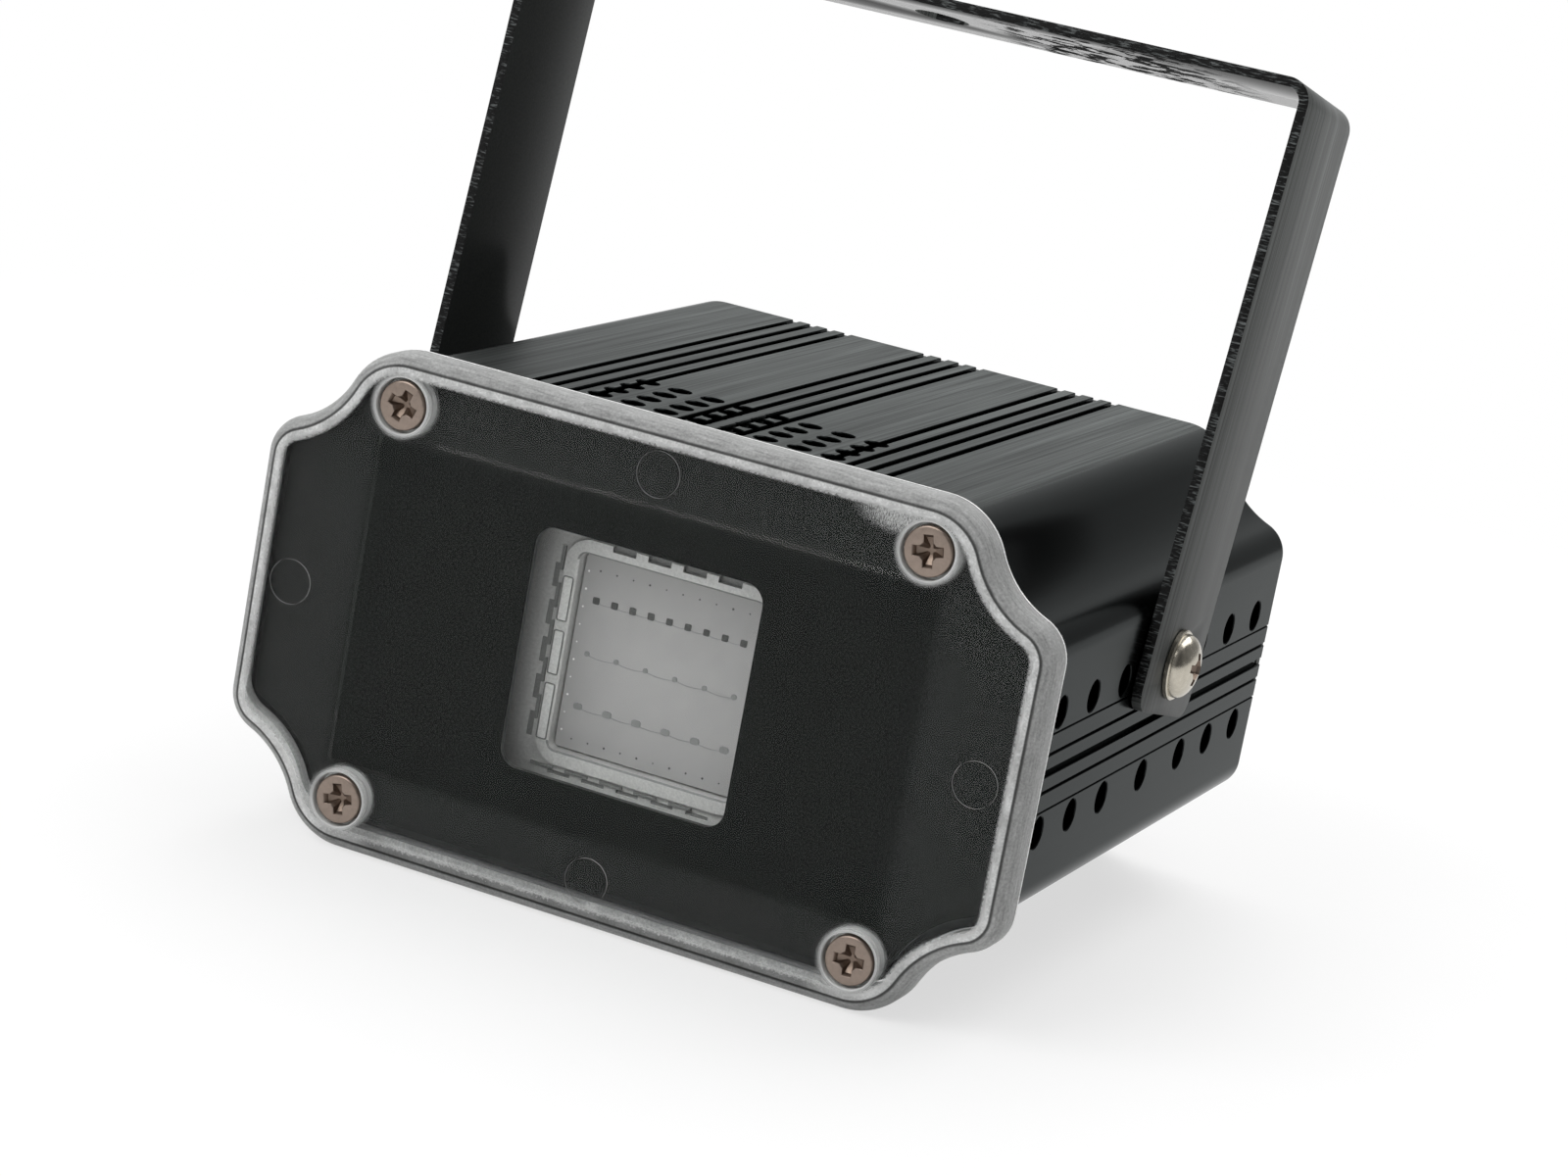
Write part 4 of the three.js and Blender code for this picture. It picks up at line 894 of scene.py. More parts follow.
def plated_steel(name, value, dull, bright):
    # Plated steel: bright, with faint cloudy wear from handling and the driver.
    material, tree, shader = new_material(name, Metallic=1.0, Roughness=0.2)
    wear = place_noise(tree, 0.6 * MM, 4.0)
    skin = wandering(tree, wear, value, 0.86, 1.06)
    rough = add_node(tree, RANGE, spread(bright, dull), {"Value": wear})
    link(tree, shader, {"Base Color": (skin, COLOUR_OUT), "Roughness": rough})
    return material


def plain(name, value, roughness, metallic=0.0, grain=0.3 * MM, relief=0.008 * MM, wander=0.12):
    # Skins straight from a mould, a roll or a bath: the colour wanders a little and the skin is
    # not quite flat, so a highlight on it is soft and uneven.
    material, tree, shader = new_material(name, Roughness=roughness, Metallic=metallic)
    noise = place_noise(tree, grain)
    skin = wandering(tree, noise, value, 1 - wander, 1 + wander)
    uneven = add_node(tree, "ShaderNodeBump", {"Distance": relief}, {"Height": noise})
    link(tree, shader, {"Base Color": (skin, COLOUR_OUT), "Normal": uneven})
    return material


def dress(piece, material):
    piece.data.materials.clear()
    piece.data.materials.append(material)
    return piece


def settle(piece, material, body="housing", nodes=()):
    """Finishes a piece: its material, its body and the nodes it stands for."""
    dress(piece, material)
    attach(piece, body)
    if nodes:
        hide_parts(*nodes)
    return piece


def second_finish(piece, material, test):
    """Gives a further finish to the faces whose middle and normal pass a test."""
    piece.data.materials.append(material)
    index = len(piece.data.materials) - 1
    for face in piece.data.polygons:
        if test(face.center, face.normal):
            face.material_index = index
    return piece


def finish_named(name, maker, *values):
    """Each material is made once."""
    return bpy.data.materials.get(name) or maker(*values)


def plate_named(name, value, dull, bright):
    return finish_named(name, plated_steel, name, tuple(value), dull, bright)


def plain_named(name, value, *values):
    return finish_named(name, plain, name, tuple(value), *values)


# Parts of the housing
def groove_cutter(across, depth, lip, centre, side, from_y, to_y):
    """A groove's cutter with flared lips. The side is the outward direction in X and Z."""
    out = Vector(side)
    along = Vector((-out.y, out.x))
    half = [(across / 2, -depth), (across / 2, -lip), (across / 2 + lip / 3, -lip / 3),
            (across / 2 + lip, lip / 4), (across / 2 + 2 * lip, OVERRUN)]
    profile = [(-a, b) for a, b in reversed(half)] + half
    points = [Vector(centre) + along * a + out * b for a, b in profile]
    return prism("Cutter", [(p.x, p.y) for p in points], from_y, to_y)


def housing_cutters(sizes):
    """The grooves of the top and bottom, and the seam and fine lines of the sides."""
    from_y = UPPER_LOW.y + sizes.front_land
    to_y = UPPER_HIGH.y + OVERRUN
    cutters = []
    for group in range(sizes.groups):
        for index in range(sizes.grooves):
            x = (group - (sizes.groups - 1) / 2) * sizes.group_pitch
            x += (index - (sizes.grooves - 1) / 2) * sizes.groove_pitch
            for z, side in ((UPPER_HIGH.z, (0, 1)), (LOWER_LOW.z, (0, -1))):
                cutters.append(groove_cutter(sizes.groove_width, sizes.groove_depth, sizes.lip,
                                             (x, z), side, from_y, to_y))
    lines = [(0, sizes.seam_width, sizes.seam_depth)]
    for sign in (-1, 1):
        lines.append((sign * sizes.inner_line, sizes.line_width, sizes.line_depth))
        lines.append((sign * sizes.outer_line, sizes.fine_width, sizes.line_depth / 2))
    for rise, width, depth in lines:
        for sign in (-1, 1):
            spot = (sign * HOUSING_WIDTH / 2, HOUSING_MIDDLE_Z + rise)
            cutters.append(groove_cutter(width, depth, sizes.lip, spot, (sign, 0), from_y, to_y))
    return joined("Groove cutters", cutters)


def hole_cutter(radius, lip, depth, side):
    """A drill through a wall whose outer face is at zero, with a broken edge."""
    profile = [(0, -depth), (radius, -depth), (radius, -lip), (radius + lip, 0),
               (radius + lip, OVERRUN), (0, OVERRUN)]
    turn = {"top": Matrix.Rotation(math.pi / 2, 4, "X"),
            "right": Matrix.Rotation(-math.pi / 2, 4, "Z"),
            "left": Matrix.Rotation(math.pi / 2, 4, "Z")}[side]
    return turned("Drill", profile, HOLE_SIDES, turn)


def vent_cutters(sizes):
    """The air holes of the top and the sides, and the pivot screws' holes."""
    middle_y = (UPPER_LOW.y + UPPER_HIGH.y) / 2
    through = sizes.wall + OVERRUN
    places = []
    for column in range(sizes.vent_columns):
        for row in range(sizes.vent_rows):
            x = (column - (sizes.vent_columns - 1) / 2) * sizes.top_vent_pitch
            y = UPPER_LOW.y + sizes.top_vent_from_front + row * sizes.top_vent_pitch
            places.append((x, y, UPPER_HIGH.z))
    drill = hole_cutter(sizes.top_vent_radius, sizes.lip, through, "top")
    sets = [repeated("Top drills", drill, places)]
    near = [sizes.side_vent_near + i * sizes.side_vent_pitch for i in range(sizes.side_vents)]
    upper_z = HOUSING_MIDDLE_Z + sizes.side_vent_rise
    for side, x in (("right", UPPER_HIGH.x), ("left", UPPER_LOW.x)):
        rows = [(x, middle_y + y, upper_z) for y in near]
        rows += [(x, middle_y - y, upper_z) for y in near]
        rows += [(x, y, 2 * HOUSING_MIDDLE_Z - z) for x, y, z in rows]
        rows.append((x, middle_y, HOUSING_MIDDLE_Z - sizes.side_vent_rise))
        drill = hole_cutter(sizes.side_vent_radius, sizes.lip, through, side)
        sets.append(repeated("Side drills", drill, rows))
        # The pivot screw takes the place of the middle hole in the upper row
        drill = hole_cutter(sizes.pivot_hole_radius, sizes.lip / 2, through, side)
        sets.append(repeated("Pivot drill", drill, [(x, middle_y, upper_z)]))
    return joined("Vent cutters", sets)


class STROBE_OT_housing(bpy.types.Operator):
    """Builds the two extruded half shells with their grooves, seam, air holes and screw ports"""
    bl_idname = "strobe.housing"
    bl_label = "Housing"

    def execute(self, context):
        sizes = context.scene.strobe_housing
        finish = finish_named("Anodised aluminium", anodised_aluminium,
                              context.scene.strobe_finishes)
        front, rear = UPPER_LOW.y, UPPER_HIGH.y

        def extruded(name, *stations):
            """The outline run through stations along Y, each with its own growth."""
            return lofted(name, [at(y, housing_outline(sizes, growth)) for y, growth in stations])

        shell = extruded("Shell", (front, -sizes.lip), (front + sizes.lip, 0),
                         (rear - sizes.lip, 0), (rear, -sizes.lip))
        combine(shell, extruded("Bore", (front - OVERRUN, -sizes.wall),
                                (rear + OVERRUN, -sizes.wall)))
        ports, bores = [], []
        for spot in map(middle, COVER_SCREWS):
            port = rod("Port", sizes.port_radius, front, rear, spot.x, spot.z, HOLE_SIDES)
            inside = extruded("Inside", (front, -sizes.lip), (rear, -sizes.lip))
            ports.append(combine(port, inside, "INTERSECT"))
            bores.append(rod("Bore", sizes.port_bore, front - OVERRUN, rear + OVERRUN, spot.x,
                             spot.z, BORE_SIDES))
        combine(shell, joined("Ports", ports), "UNION")
        combine(shell, joined("Bores", bores))
        combine(shell, housing_cutters(sizes))
        combine(shell, vent_cutters(sizes))
        reach = HOUSING_WIDTH
        for name, node, low_z, high_z in (
                ("upper_shell", "housing_upper", HOUSING_MIDDLE_Z + SEAM_GAP / 2,
                 UPPER_HIGH.z + OVERRUN),
                ("lower_shell", "housing_lower", LOWER_LOW.z - OVERRUN,
                 HOUSING_MIDDLE_Z - SEAM_GAP / 2)):
            half = new_object(name, shell.data.copy())
            keep = slab("Half", (-reach, front - OVERRUN, low_z), (reach, rear + OVERRUN, high_z))
            combine(half, keep, "INTERSECT")
            settle(smooth(half), finish, nodes=[node])
        bpy.data.objects.remove(shell)
        return {"FINISHED"}


class STROBE_OT_cover(bpy.types.Operator):
    """Moulds the clear cover with its rounded edge, screw seats, polished pocket and marks"""
    bl_idname = "strobe.cover"
    bl_label = "Clear cover"

    def execute(self, context):
        sizes = context.scene.strobe_cover
        housing = context.scene.strobe_housing
        finish = finish_named("Polycarbonate", polycarbonate, context.scene.strobe_finishes, sizes)
        front, rear = COVER_LOW.y, COVER_HIGH.y
        plate_rear = front + sizes.plate
        edge = housing.lip
        cover = self.moulded_skin(sizes, housing, front, rear)
        combine(cover, prism("Well", housing_outline(housing, sizes.fit), plate_rear,
                             rear + OVERRUN))
        slope = sizes.pocket_slope
        pocket = [at(y, rounded(COVER_WIDTH - 2 * sizes.pocket_side + grow,
                                COVER_HEIGHT - 2 * sizes.pocket_top + grow,
                                sizes.pocket_corner + grow / 2, 0, COVER_MIDDLE_Z, EDGE_STEPS))
                  for grow, y in ((0, plate_rear - sizes.pocket_depth), (slope, plate_rear),
                                  (slope, plate_rear + OVERRUN))]
        combine(cover, lofted("Pocket", pocket))
        seat = [(0, front - OVERRUN), (sizes.seat_radius + edge, front - OVERRUN),
                (sizes.seat_radius + edge, front), (sizes.seat_radius, front + edge),
                (sizes.seat_radius, front + sizes.seat_depth),
                (sizes.hole_radius, front + sizes.seat_depth),
                (sizes.hole_radius, plate_rear + OVERRUN), (0, plate_rear + OVERRUN)]
        cutters = [turned("Seat", seat, SEAT_SIDES, Matrix.Translation((spot.x, 0, spot.z)))
                   for spot in map(middle, COVER_SCREWS)]
        across = COVER_WIDTH / 2 - sizes.mark_side
        up = COVER_HEIGHT / 2 - sizes.mark_top
        cutters += [rod("Mark", sizes.mark_radius, front - OVERRUN, front + sizes.mark_depth, x,
                        COVER_MIDDLE_Z + z, SEAT_SIDES)
                    for x, z in ((-across, 0), (across, 0), (0, up), (0, -up))]
        combine(cover, joined("Seats", cutters))
        settle(smooth(cover, COVER_SMOOTH_ANGLE), finish, nodes=["front_cover"])
        return {"FINISHED"}

    def moulded_skin(self, sizes, housing, front, rear):
        """The cover's solid, with the place of each point along the rim held as a UV map."""
        edge = housing.lip
        fillet_length = math.pi / 2 * sizes.fillet
        total = sizes.soft_edge + fillet_length + rear - front - sizes.fillet
        # Growth of the outline, place along Y and distance along the profile
        stations = [(-sizes.fillet - sizes.soft_edge, front, 0.0)]
        for i, angle in enumerate(quarter_angles(CORNER_STEPS)):
            stations.append((sizes.fillet * (math.sin(angle) - 1),
                             front + sizes.fillet * (1 - math.cos(angle)),
                             sizes.soft_edge + fillet_length * i / CORNER_STEPS))
        stations += [(0, rear - edge, total - edge), (-edge, rear, total)]

        def place_key(point):
            return tuple(round(c / MERGE) for c in point)

        rings = []
        shares = {}
        for growth, y, along in stations:
            ring = at(y, ogee(COVER_WIDTH, COVER_HEIGHT, sizes, shoulder_place(housing),
                              COVER_MIDDLE_Z, growth))
            rings.append(ring)
            shares.update({place_key(Vector(point)): along / total for point in ring})
        cover = lofted("cover_shell", rings)
        band = cover.data.uv_layers.new(name="rim")
        for corner in cover.data.loops:
            spot = cover.data.vertices[corner.vertex_index].co
            band.data[corner.index].uv = (shares[place_key(spot)], 0.0)
        return cover


class STROBE_OT_mask(bpy.types.Operator):
    """Cuts the black mask with its square window"""
    bl_idname = "strobe.mask"
    bl_label = "Mask"

    def execute(self, context):
        sizes = context.scene.strobe_cover
        finish = finish_named("Vinyl sheet", vinyl_sheet, context.scene.strobe_finishes)
        outline = housing_outline(context.scene.strobe_housing, sizes.fit - sizes.mask_inset)
        mask = prism("mask_sheet", outline, MASK_LOW.y, MASK_HIGH.y)
        before, behind = MASK_LOW.y - OVERRUN, MASK_HIGH.y + OVERRUN
        window = rounded(sizes.window, sizes.window, sizes.window_corner, 0, COVER_MIDDLE_Z,
                         CURVE_STEPS)
        combine(mask, prism("Window", window, before, behind))
        holes = [rod("Hole", sizes.hole_radius, before, behind, spot.x, spot.z, HOLE_SIDES)
                 for spot in map(middle, COVER_SCREWS)]
        combine(mask, joined("Holes", holes))
        settle(smooth(mask), finish, nodes=["front_mask"])
        return {"FINISHED"}


# Screws: the width of a cross's pointed middle and how far from the middle its faces lie, both
# as a share of the cross's length
CROSS_HUB = 0.6
CROSS_REACH = 0.52


def cross_cutter(cross_length, cross_width, depth, top):
    """A tapered cross with a pointed middle, sunk into a screw head from its top at -Y."""
    parts = []
    hub = CROSS_HUB * cross_length
    for turn, long, wide in ((0, cross_length, cross_width),
                             (math.pi / 2, cross_length, cross_width), (math.pi / 4, hub, hub)):
        rings = []
        # The cross's share of its full size, what its broken edge adds, and the place along Y
        for share, rim, y in ((1, 2 * CHAMFER, top - CHAMFER), (1, 0, top + CHAMFER),
                              (0.86, 0, top + 0.5 * depth), (0.3, 0, top + depth)):
            half = long / 2 * share + rim
            side = wide / 2 * share + rim
            corners = [(-half, -side), (half, -side), (half, side), (-half, side)]
            rings.append([(x * math.cos(turn) - z * math.sin(turn), y,
                           x * math.sin(turn) + z * math.cos(turn)) for x, z in corners])
        parts.append(lofted("Arm", rings))
    cutter = parts[0]
    for part in parts[1:]:
        combine(cutter, part, "UNION")
    return cutter


def flat_head(sizes, shank_end):
    """A flat head with its seat at the origin, its face towards -Y and its shank behind."""
    edge = sizes.head_edge
    profile = [(0, -sizes.head_height)]
    profile += [(sizes.head_radius - edge + edge * math.sin(angle),
                 -sizes.head_height + edge - edge * math.cos(angle))
                for angle in quarter_angles(EDGE_STEPS)]
    profile += [(sizes.head_radius, 0), (sizes.shank_radius, 0), (sizes.shank_radius, shank_end),
                (0, shank_end)]
    head = turned("Head", profile, sizes.sides)
    return combine(head, cross_cutter(sizes.cross_length, sizes.cross_width, sizes.cross_depth,
                                      -sizes.head_height))


class STROBE_OT_screws(bpy.types.Operator):
    """Sets the cross-head screws of the cover, the rear panel and the light module"""
    bl_idname = "strobe.screws"
    bl_label = "Screws"

    def execute(self, context):
        sizes = context.scene.strobe_screws
        colours = context.scene.strobe_finishes
        finish = plate_named("Nickel plate", colours.nickel, 0.42, 0.3)
        # Painted shade: the crosses get a darker, duller plate than the heads
        recess = plate_named("Screw recess", colours.cross, 0.5, 0.34)
        # Each screw stops where it was driven to, given as its cross's turn in degrees
        for name, nodes, behind, turns in (
                ("cover_screws", COVER_SCREWS, False, (20, -9, -12, -2)),
                ("panel_screws", PANEL_SCREWS, True, (12, 38, -25, 4)),
                ("module_screws", LED_SCREWS, False, (31, -14, 8, -37))):
            low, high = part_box(nodes[0])
            head = flat_head(sizes, high.y - low.y - sizes.head_height)
            if behind:
                head.data.transform(Matrix.Rotation(math.pi, 4, "Z"))
            places = []
            for node in nodes:
                low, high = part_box(node)
                seat = high.y - sizes.head_height if behind else low.y + sizes.head_height
                places.append((middle(node).x, seat, middle(node).z))
            made = repeated(name, head, places, finish, [math.radians(t) for t in turns])
            settle(smooth(made), finish, nodes=nodes)
            reach = CROSS_REACH * sizes.cross_length
            under = sizes.head_height - 1.2 * CHAMFER

            def in_cross(centre, normal):
                near = min(math.hypot(centre.x - x, centre.z - z) for x, _, z in places)
                return near < reach and 2 * CLOSE < abs(centre.y - places[0][1]) < under
            second_finish(made, recess, in_cross)
        return {"FINISHED"}


class STROBE_OT_pivots(bpy.types.Operator):
    """Sets the two washer-head pivot screws"""
    bl_idname = "strobe.pivots"
    bl_label = "Pivot screws"

    def execute(self, context):
        sizes = context.scene.strobe_screws
        colours = context.scene.strobe_finishes
        finish = plate_named("Zinc plate", colours.zinc, 0.3, 0.14)
        # Painted shade: the crosses get a darker, duller plate than the heads
        recess = plate_named("Screw recess", colours.cross, 0.5, 0.34)
        flange = sizes.pivot_flange
        thick = sizes.pivot_flange_thickness
        edge = sizes.pivot_flange_edge
        under_edge = 0.1 * MM
        rise = sizes.pivot_height
        dome = sizes.pivot_dome
        # At a power of one the dome's profile would be a quarter ellipse; it is a little fuller
        power = 0.85
        for side, sign in (("left", -1), ("right", 1)):
            node = f"pivot_screw_{side}"
            low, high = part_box(node)
            tip, inner = (low.x, high.x) if sign < 0 else (high.x, low.x)
            end = abs(tip - inner) - rise
            profile = [(0, -rise)]
            profile += [(dome * math.sin(angle),
                         -thick - (rise - thick) * math.cos(angle) ** power)
                        for angle in quarter_angles(CURVE_STEPS)[1:]]
            profile += [(flange - edge, -thick), (flange, -thick + edge), (flange, -under_edge),
                        (flange - under_edge, 0), (sizes.pivot_shank, 0),
                        (sizes.pivot_shank, end), (0, end)]
            screw = turned(f"pivot_{side}", profile, sizes.sides)
            combine(screw, cross_cutter(sizes.pivot_cross_length, sizes.pivot_cross_width,
                                        sizes.pivot_cross_depth, -rise))
            settle(smooth(screw), finish, nodes=[node])

            def in_cross(centre, normal):
                away = math.hypot(centre.x, centre.z)
                skin = 1 - min(1, away / dome) ** 2
                skin = -thick - (rise - thick) * skin ** (power / 2)
                return (away < CROSS_REACH * sizes.pivot_cross_length
                        and skin + 2 * CLOSE < centre.y < -0.5 * thick)
            second_finish(screw, recess, in_cross)
            turn = Matrix.Rotation(sign * math.pi / 2, 4, "Z")
            turn = turn @ Matrix.Rotation(math.radians(12), 4, "Y")
            spot = Vector((tip - sign * rise, BRACKET_PIVOT.y, BRACKET_PIVOT.z))
            screw.data.transform(Matrix.Translation(spot) @ turn)
        return {"FINISHED"}


class STROBE_OT_bracket(bpy.types.Operator):
    """Bends the strap bracket and drills its bolt and pivot holes"""
    bl_idname = "strobe.bracket"
    bl_label = "Bracket"

    def execute(self, context):
        sizes = context.scene.strobe_bracket
        colours = context.scene.strobe_finishes
        finish = finish_named("Painted steel", painted_steel, colours, sizes.tilt)
        outer = UPPER_HIGH.x + sizes.arm_gap + sizes.thickness
        top = sizes.rise
        strap = self.bent_strap(sizes, outer)
        pivots = [(0, -outer - OVERRUN), (sizes.pivot_hole, -outer - OVERRUN),
                  (sizes.pivot_hole, outer + OVERRUN), (0, outer + OVERRUN)]
        combine(strap, turned("Pivot drill", pivots, ROD_SIDES,
                              Matrix.Rotation(math.pi / 2, 4, "Z")))
        bolt = [(0, -OVERRUN), (sizes.bolt_hole, -OVERRUN),
                (sizes.bolt_hole, sizes.thickness + OVERRUN), (0, sizes.thickness + OVERRUN)]
        place = Matrix.Translation((0, 0, top - sizes.thickness))
        combine(strap, turned("Bolt drill", bolt, SEAT_SIDES,
                              place @ Matrix.Rotation(math.pi / 2, 4, "X")))
        edge = strap.modifiers.new("Edge", "BEVEL")
        edge.width = sizes.edge
        edge.segments = 2
        edge.limit_method = "ANGLE"
        edge.angle_limit = math.radians(50)
        evaluated(strap)
        settle(smooth(strap), finish, "bracket", ["bracket"])
        loop = Vector((0, 0, top / 2))
        # The underside of the top, the inner faces of the arms, and the two long edges
        for name, maker, test in (
                ("Gloss paint", inside_paint, lambda centre, normal:
                 normal.z < -0.5 and centre.z > top / 2),
                ("Satin paint", arm_paint, lambda centre, normal:
                 abs(normal.z) < 0.5 and normal.dot((loop - centre).normalized()) > 0.25),
                ("Sheared edge", sheared_edge, lambda centre, normal: abs(normal.y) > 0.85)):
            second_finish(strap, finish_named(name, maker, colours, sizes.tilt), test)
        strap.data.transform(Matrix.Translation(BRACKET_PIVOT)
                             @ Matrix.Rotation(-sizes.tilt, 4, "X"))
        return {"FINISHED"}

    def bent_strap(self, sizes, outer):
        """The strap upright about its pivots: its bent outline cut to width and round feet."""
        inner = outer - sizes.thickness
        top, foot, start = sizes.rise, -sizes.foot, sizes.lean_start
        right = (outer + sizes.lean_right - sizes.bend, top - sizes.bend)
        left = (sizes.bend - outer - sizes.lean_left, top - sizes.bend)
        inner_bend = sizes.bend - sizes.thickness
        outline = [(outer, foot), (outer, start)]
        outline += arc(right, sizes.bend, 0, math.pi / 2, CURVE_STEPS)
        outline += arc(left, sizes.bend, math.pi / 2, math.pi, CURVE_STEPS)
        outline += [(-outer, start), (-outer, foot), (-inner, foot), (-inner, start)]
        outline += arc(left, inner_bend, math.pi, math.pi / 2, CURVE_STEPS)
        outline += arc(right, inner_bend, math.pi / 2, 0, CURVE_STEPS)
        outline += [(inner, start), (inner, foot)]
        half = sizes.width / 2
        strap = prism("bracket_strap", outline, -half, half)
        round_foot = sizes.foot_radius
        side = [(-half, top + OVERRUN), (-half, foot + round_foot)]
        side += arc((-half + round_foot, foot + round_foot), round_foot, math.pi, 1.5 * math.pi,
                    CURVE_STEPS)[1:]
        side += arc((half - round_foot, foot + round_foot), round_foot, 1.5 * math.pi,
                    2 * math.pi, CURVE_STEPS)
        side += [(half, top + OVERRUN)]
        reach = outer + sizes.lean_left + OVERRUN
        keep = lofted("Keep", [[(x, y, z) for y, z in side] for x in (-reach, reach)])
        return combine(strap, keep, "INTERSECT")


# Lower and upper end of each panel in the lip's sides, in millimetres from the pad's middle
LIP_PANELS = ((3.55, 8.8), (-3.1, 2.1), (-11.2, -4.5))


class STROBE_OT_light_module(bpy.types.Operator):
    """Dresses the light module: its frame, the soft pad and the rows of chips and wires"""
    bl_idname = "strobe.light_module"
    bl_label = "Light module"

    def execute(self, context):
        sizes = context.scene.strobe_module
        colours = context.scene.strobe_finishes
        # Silicone gel poured over the chips: pale and clouded, with a wavy satin skin
        gel = plain_named("Silicone gel", colours.pad, 0.3, 0.0, 3 * MM, 0.02 * MM, 0.04)
        dress(frame["nodes"]["led_pad"], gel)
        self.frame_finishes(sizes, colours, self.moulded_frame(sizes))
        # Chips sawn from a wafer, satin under the gel: dark in the top row, grey in the others
        dark = plain_named("Dark chips", colours.chip_dark, 0.3, 0.0, 0.2 * MM)
        grey = plain_named("Grey chips", colours.chip_grey, 0.3, 0.0, 0.2 * MM)
        # The moulding's flat panels, and the pale bond dots: brighter than what is round them
        light = plain_named("Module panel", colours.frame_panel, 0.4)
        centre = middle("led_pad")
        front = PAD_LOW.y
        # Each row's chips: how many, their finish, share of the full size, width over height
        # and share of the corners that is round
        for index, (name, number, finish, share, wide, corner) in enumerate((
                ("top_chips", sizes.first_row, dark, 1.0, 1.0, 0.35),
                ("middle_chips", sizes.other_rows, grey, 0.8, 1.0, 0.8),
                ("bottom_chips", sizes.other_rows, grey, 1.0, 1.45, 0.8))):
            z = centre.z + (1 - index) * sizes.row_pitch
            half = sizes.chip_size / 2 * share
            outline = rounded(2 * half * wide, 2 * half, half * corner, steps=EDGE_STEPS)
            chip = prism("Chip", outline, -sizes.chip_rise, sizes.sunk)
            xs = [centre.x + sizes.row_width * (i / (number - 1) - 0.5) for i in range(number)]
            chips = repeated(name, chip, [(x, front, z) for x in xs], finish, smallest=0.9,
                             seed=index)
            settle(smooth(chips), finish)
            settle(smooth(self.wire(sizes, f"wire_{index + 1}", xs, z, front)), grey)
        # The bond dots lie in a column at each side, and in a row above and below
        reach = (PAD_HIGH.x - PAD_LOW.x) / 2 - sizes.speck_inset
        steps = [(i - (sizes.specks - 1) / 2) * sizes.speck_pitch for i in range(sizes.specks)]
        columns = [(centre.x + x, front, centre.z + step) for x in (-reach, reach)
                   for step in steps]
        rows = [(centre.x + step, front, centre.z + rise)
                for rise in (0.9 * reach, -0.94 * reach) for step in steps]
        for name, places, finish, slot, seed in (
                ("white_bonds", columns, light, "white_moulding", 4),
                ("grey_bonds", rows, dark, "gel_pad", 6)):
            outline = rounded(sizes.speck_size, sizes.speck_size, sizes.speck_size / 2.2, steps=2)
            dot = prism("Dot", outline, -sizes.speck_rise, sizes.sunk)
            bonds = repeated(name, dot, places, finish, smallest=0.6, seed=seed)
            settle(bonds, finish)
        return {"FINISHED"}

    def wire(self, sizes, name, xs, z, front):
        """A bond wire that sags from chip to chip."""
        steps = 8
        lowered = 0.35 * sizes.wire_sag
        upper = []
        for start, end in zip(xs, xs[1:]):
            for i in range(steps):
                share = i / steps
                sag = sizes.wire_sag * 4 * share * (1 - share) + lowered
                upper.append((start + (end - start) * share, z - sag))
        upper.append((xs[-1], z - lowered))
        lower = [(x, z - sizes.wire_width) for x, z in reversed(upper)]
        return prism(name, upper + lower, front - sizes.chip_rise / 2, front + sizes.sunk)

    def frame_finishes(self, sizes, colours, moulded):
        """The frame's skin, its lower faces, the lip's panels, and painted shade on its slots,
        walls and faces turned from the light.
        """
        # Glass-filled plastic, moulded: pale, with a satin skin
        moulding = plain_named("Moulded frame", colours.frame, 0.35)
        settle(smooth(moulded, MODULE_SMOOTH_ANGLE), moulding,
               nodes=["led_frame"])
        front, rear = FRAME_LOW.y, FRAME_HIGH.y
        floor = front + sizes.lip_rise
        middle_z = middle("led_pad").z
        opening = sizes.opening / 2
        bevel = opening + sizes.lip_edge + 2 * CLOSE
        panel_end = 10 * MM

        def in_opening(centre):
            return abs(centre.x) < bevel and abs(centre.z - middle_z) < bevel

        def lower_face(centre, normal):
            return centre.y > floor - 4 * CLOSE

        def panel_side(centre, normal):
            return (normal.y < -0.9 and centre.y < front + CLOSE
                    and opening < abs(centre.x) < sizes.lip / 2
                    and abs(centre.z - middle_z) < panel_end)

        # Painted shade: slot floors and steps sunk behind the front, walls, and faces turned down
        # or to the right, except round the opening
        def in_painted_shade(centre, normal):
            if normal.y < -0.5 and (floor + CLOSE < centre.y < rear - 2 * CLOSE
                                    or front + CLOSE < centre.y < floor - 4 * CLOSE):
                return True
            turned_from_light = normal.z < -0.3 or normal.x > 0.3
            wall = abs(normal.y) < 0.5 and normal.z < 0.5
            return (turned_from_light or wall) and not in_opening(centre)

        base = finish_named("Module base", module_base, colours, sizes)
        panel = plain_named("Module panel", colours.frame_panel, 0.4)
        # Painted shade: the same plastic, darker and duller, on slots and walls and on faces
        # turned down or to the right, where little light gets in
        recess = plain_named("Module recess", colours.recess, 0.5)
        for finish, test in ((base, lower_face), (panel, panel_side), (recess, in_painted_shade)):
            second_finish(moulded, finish, test)

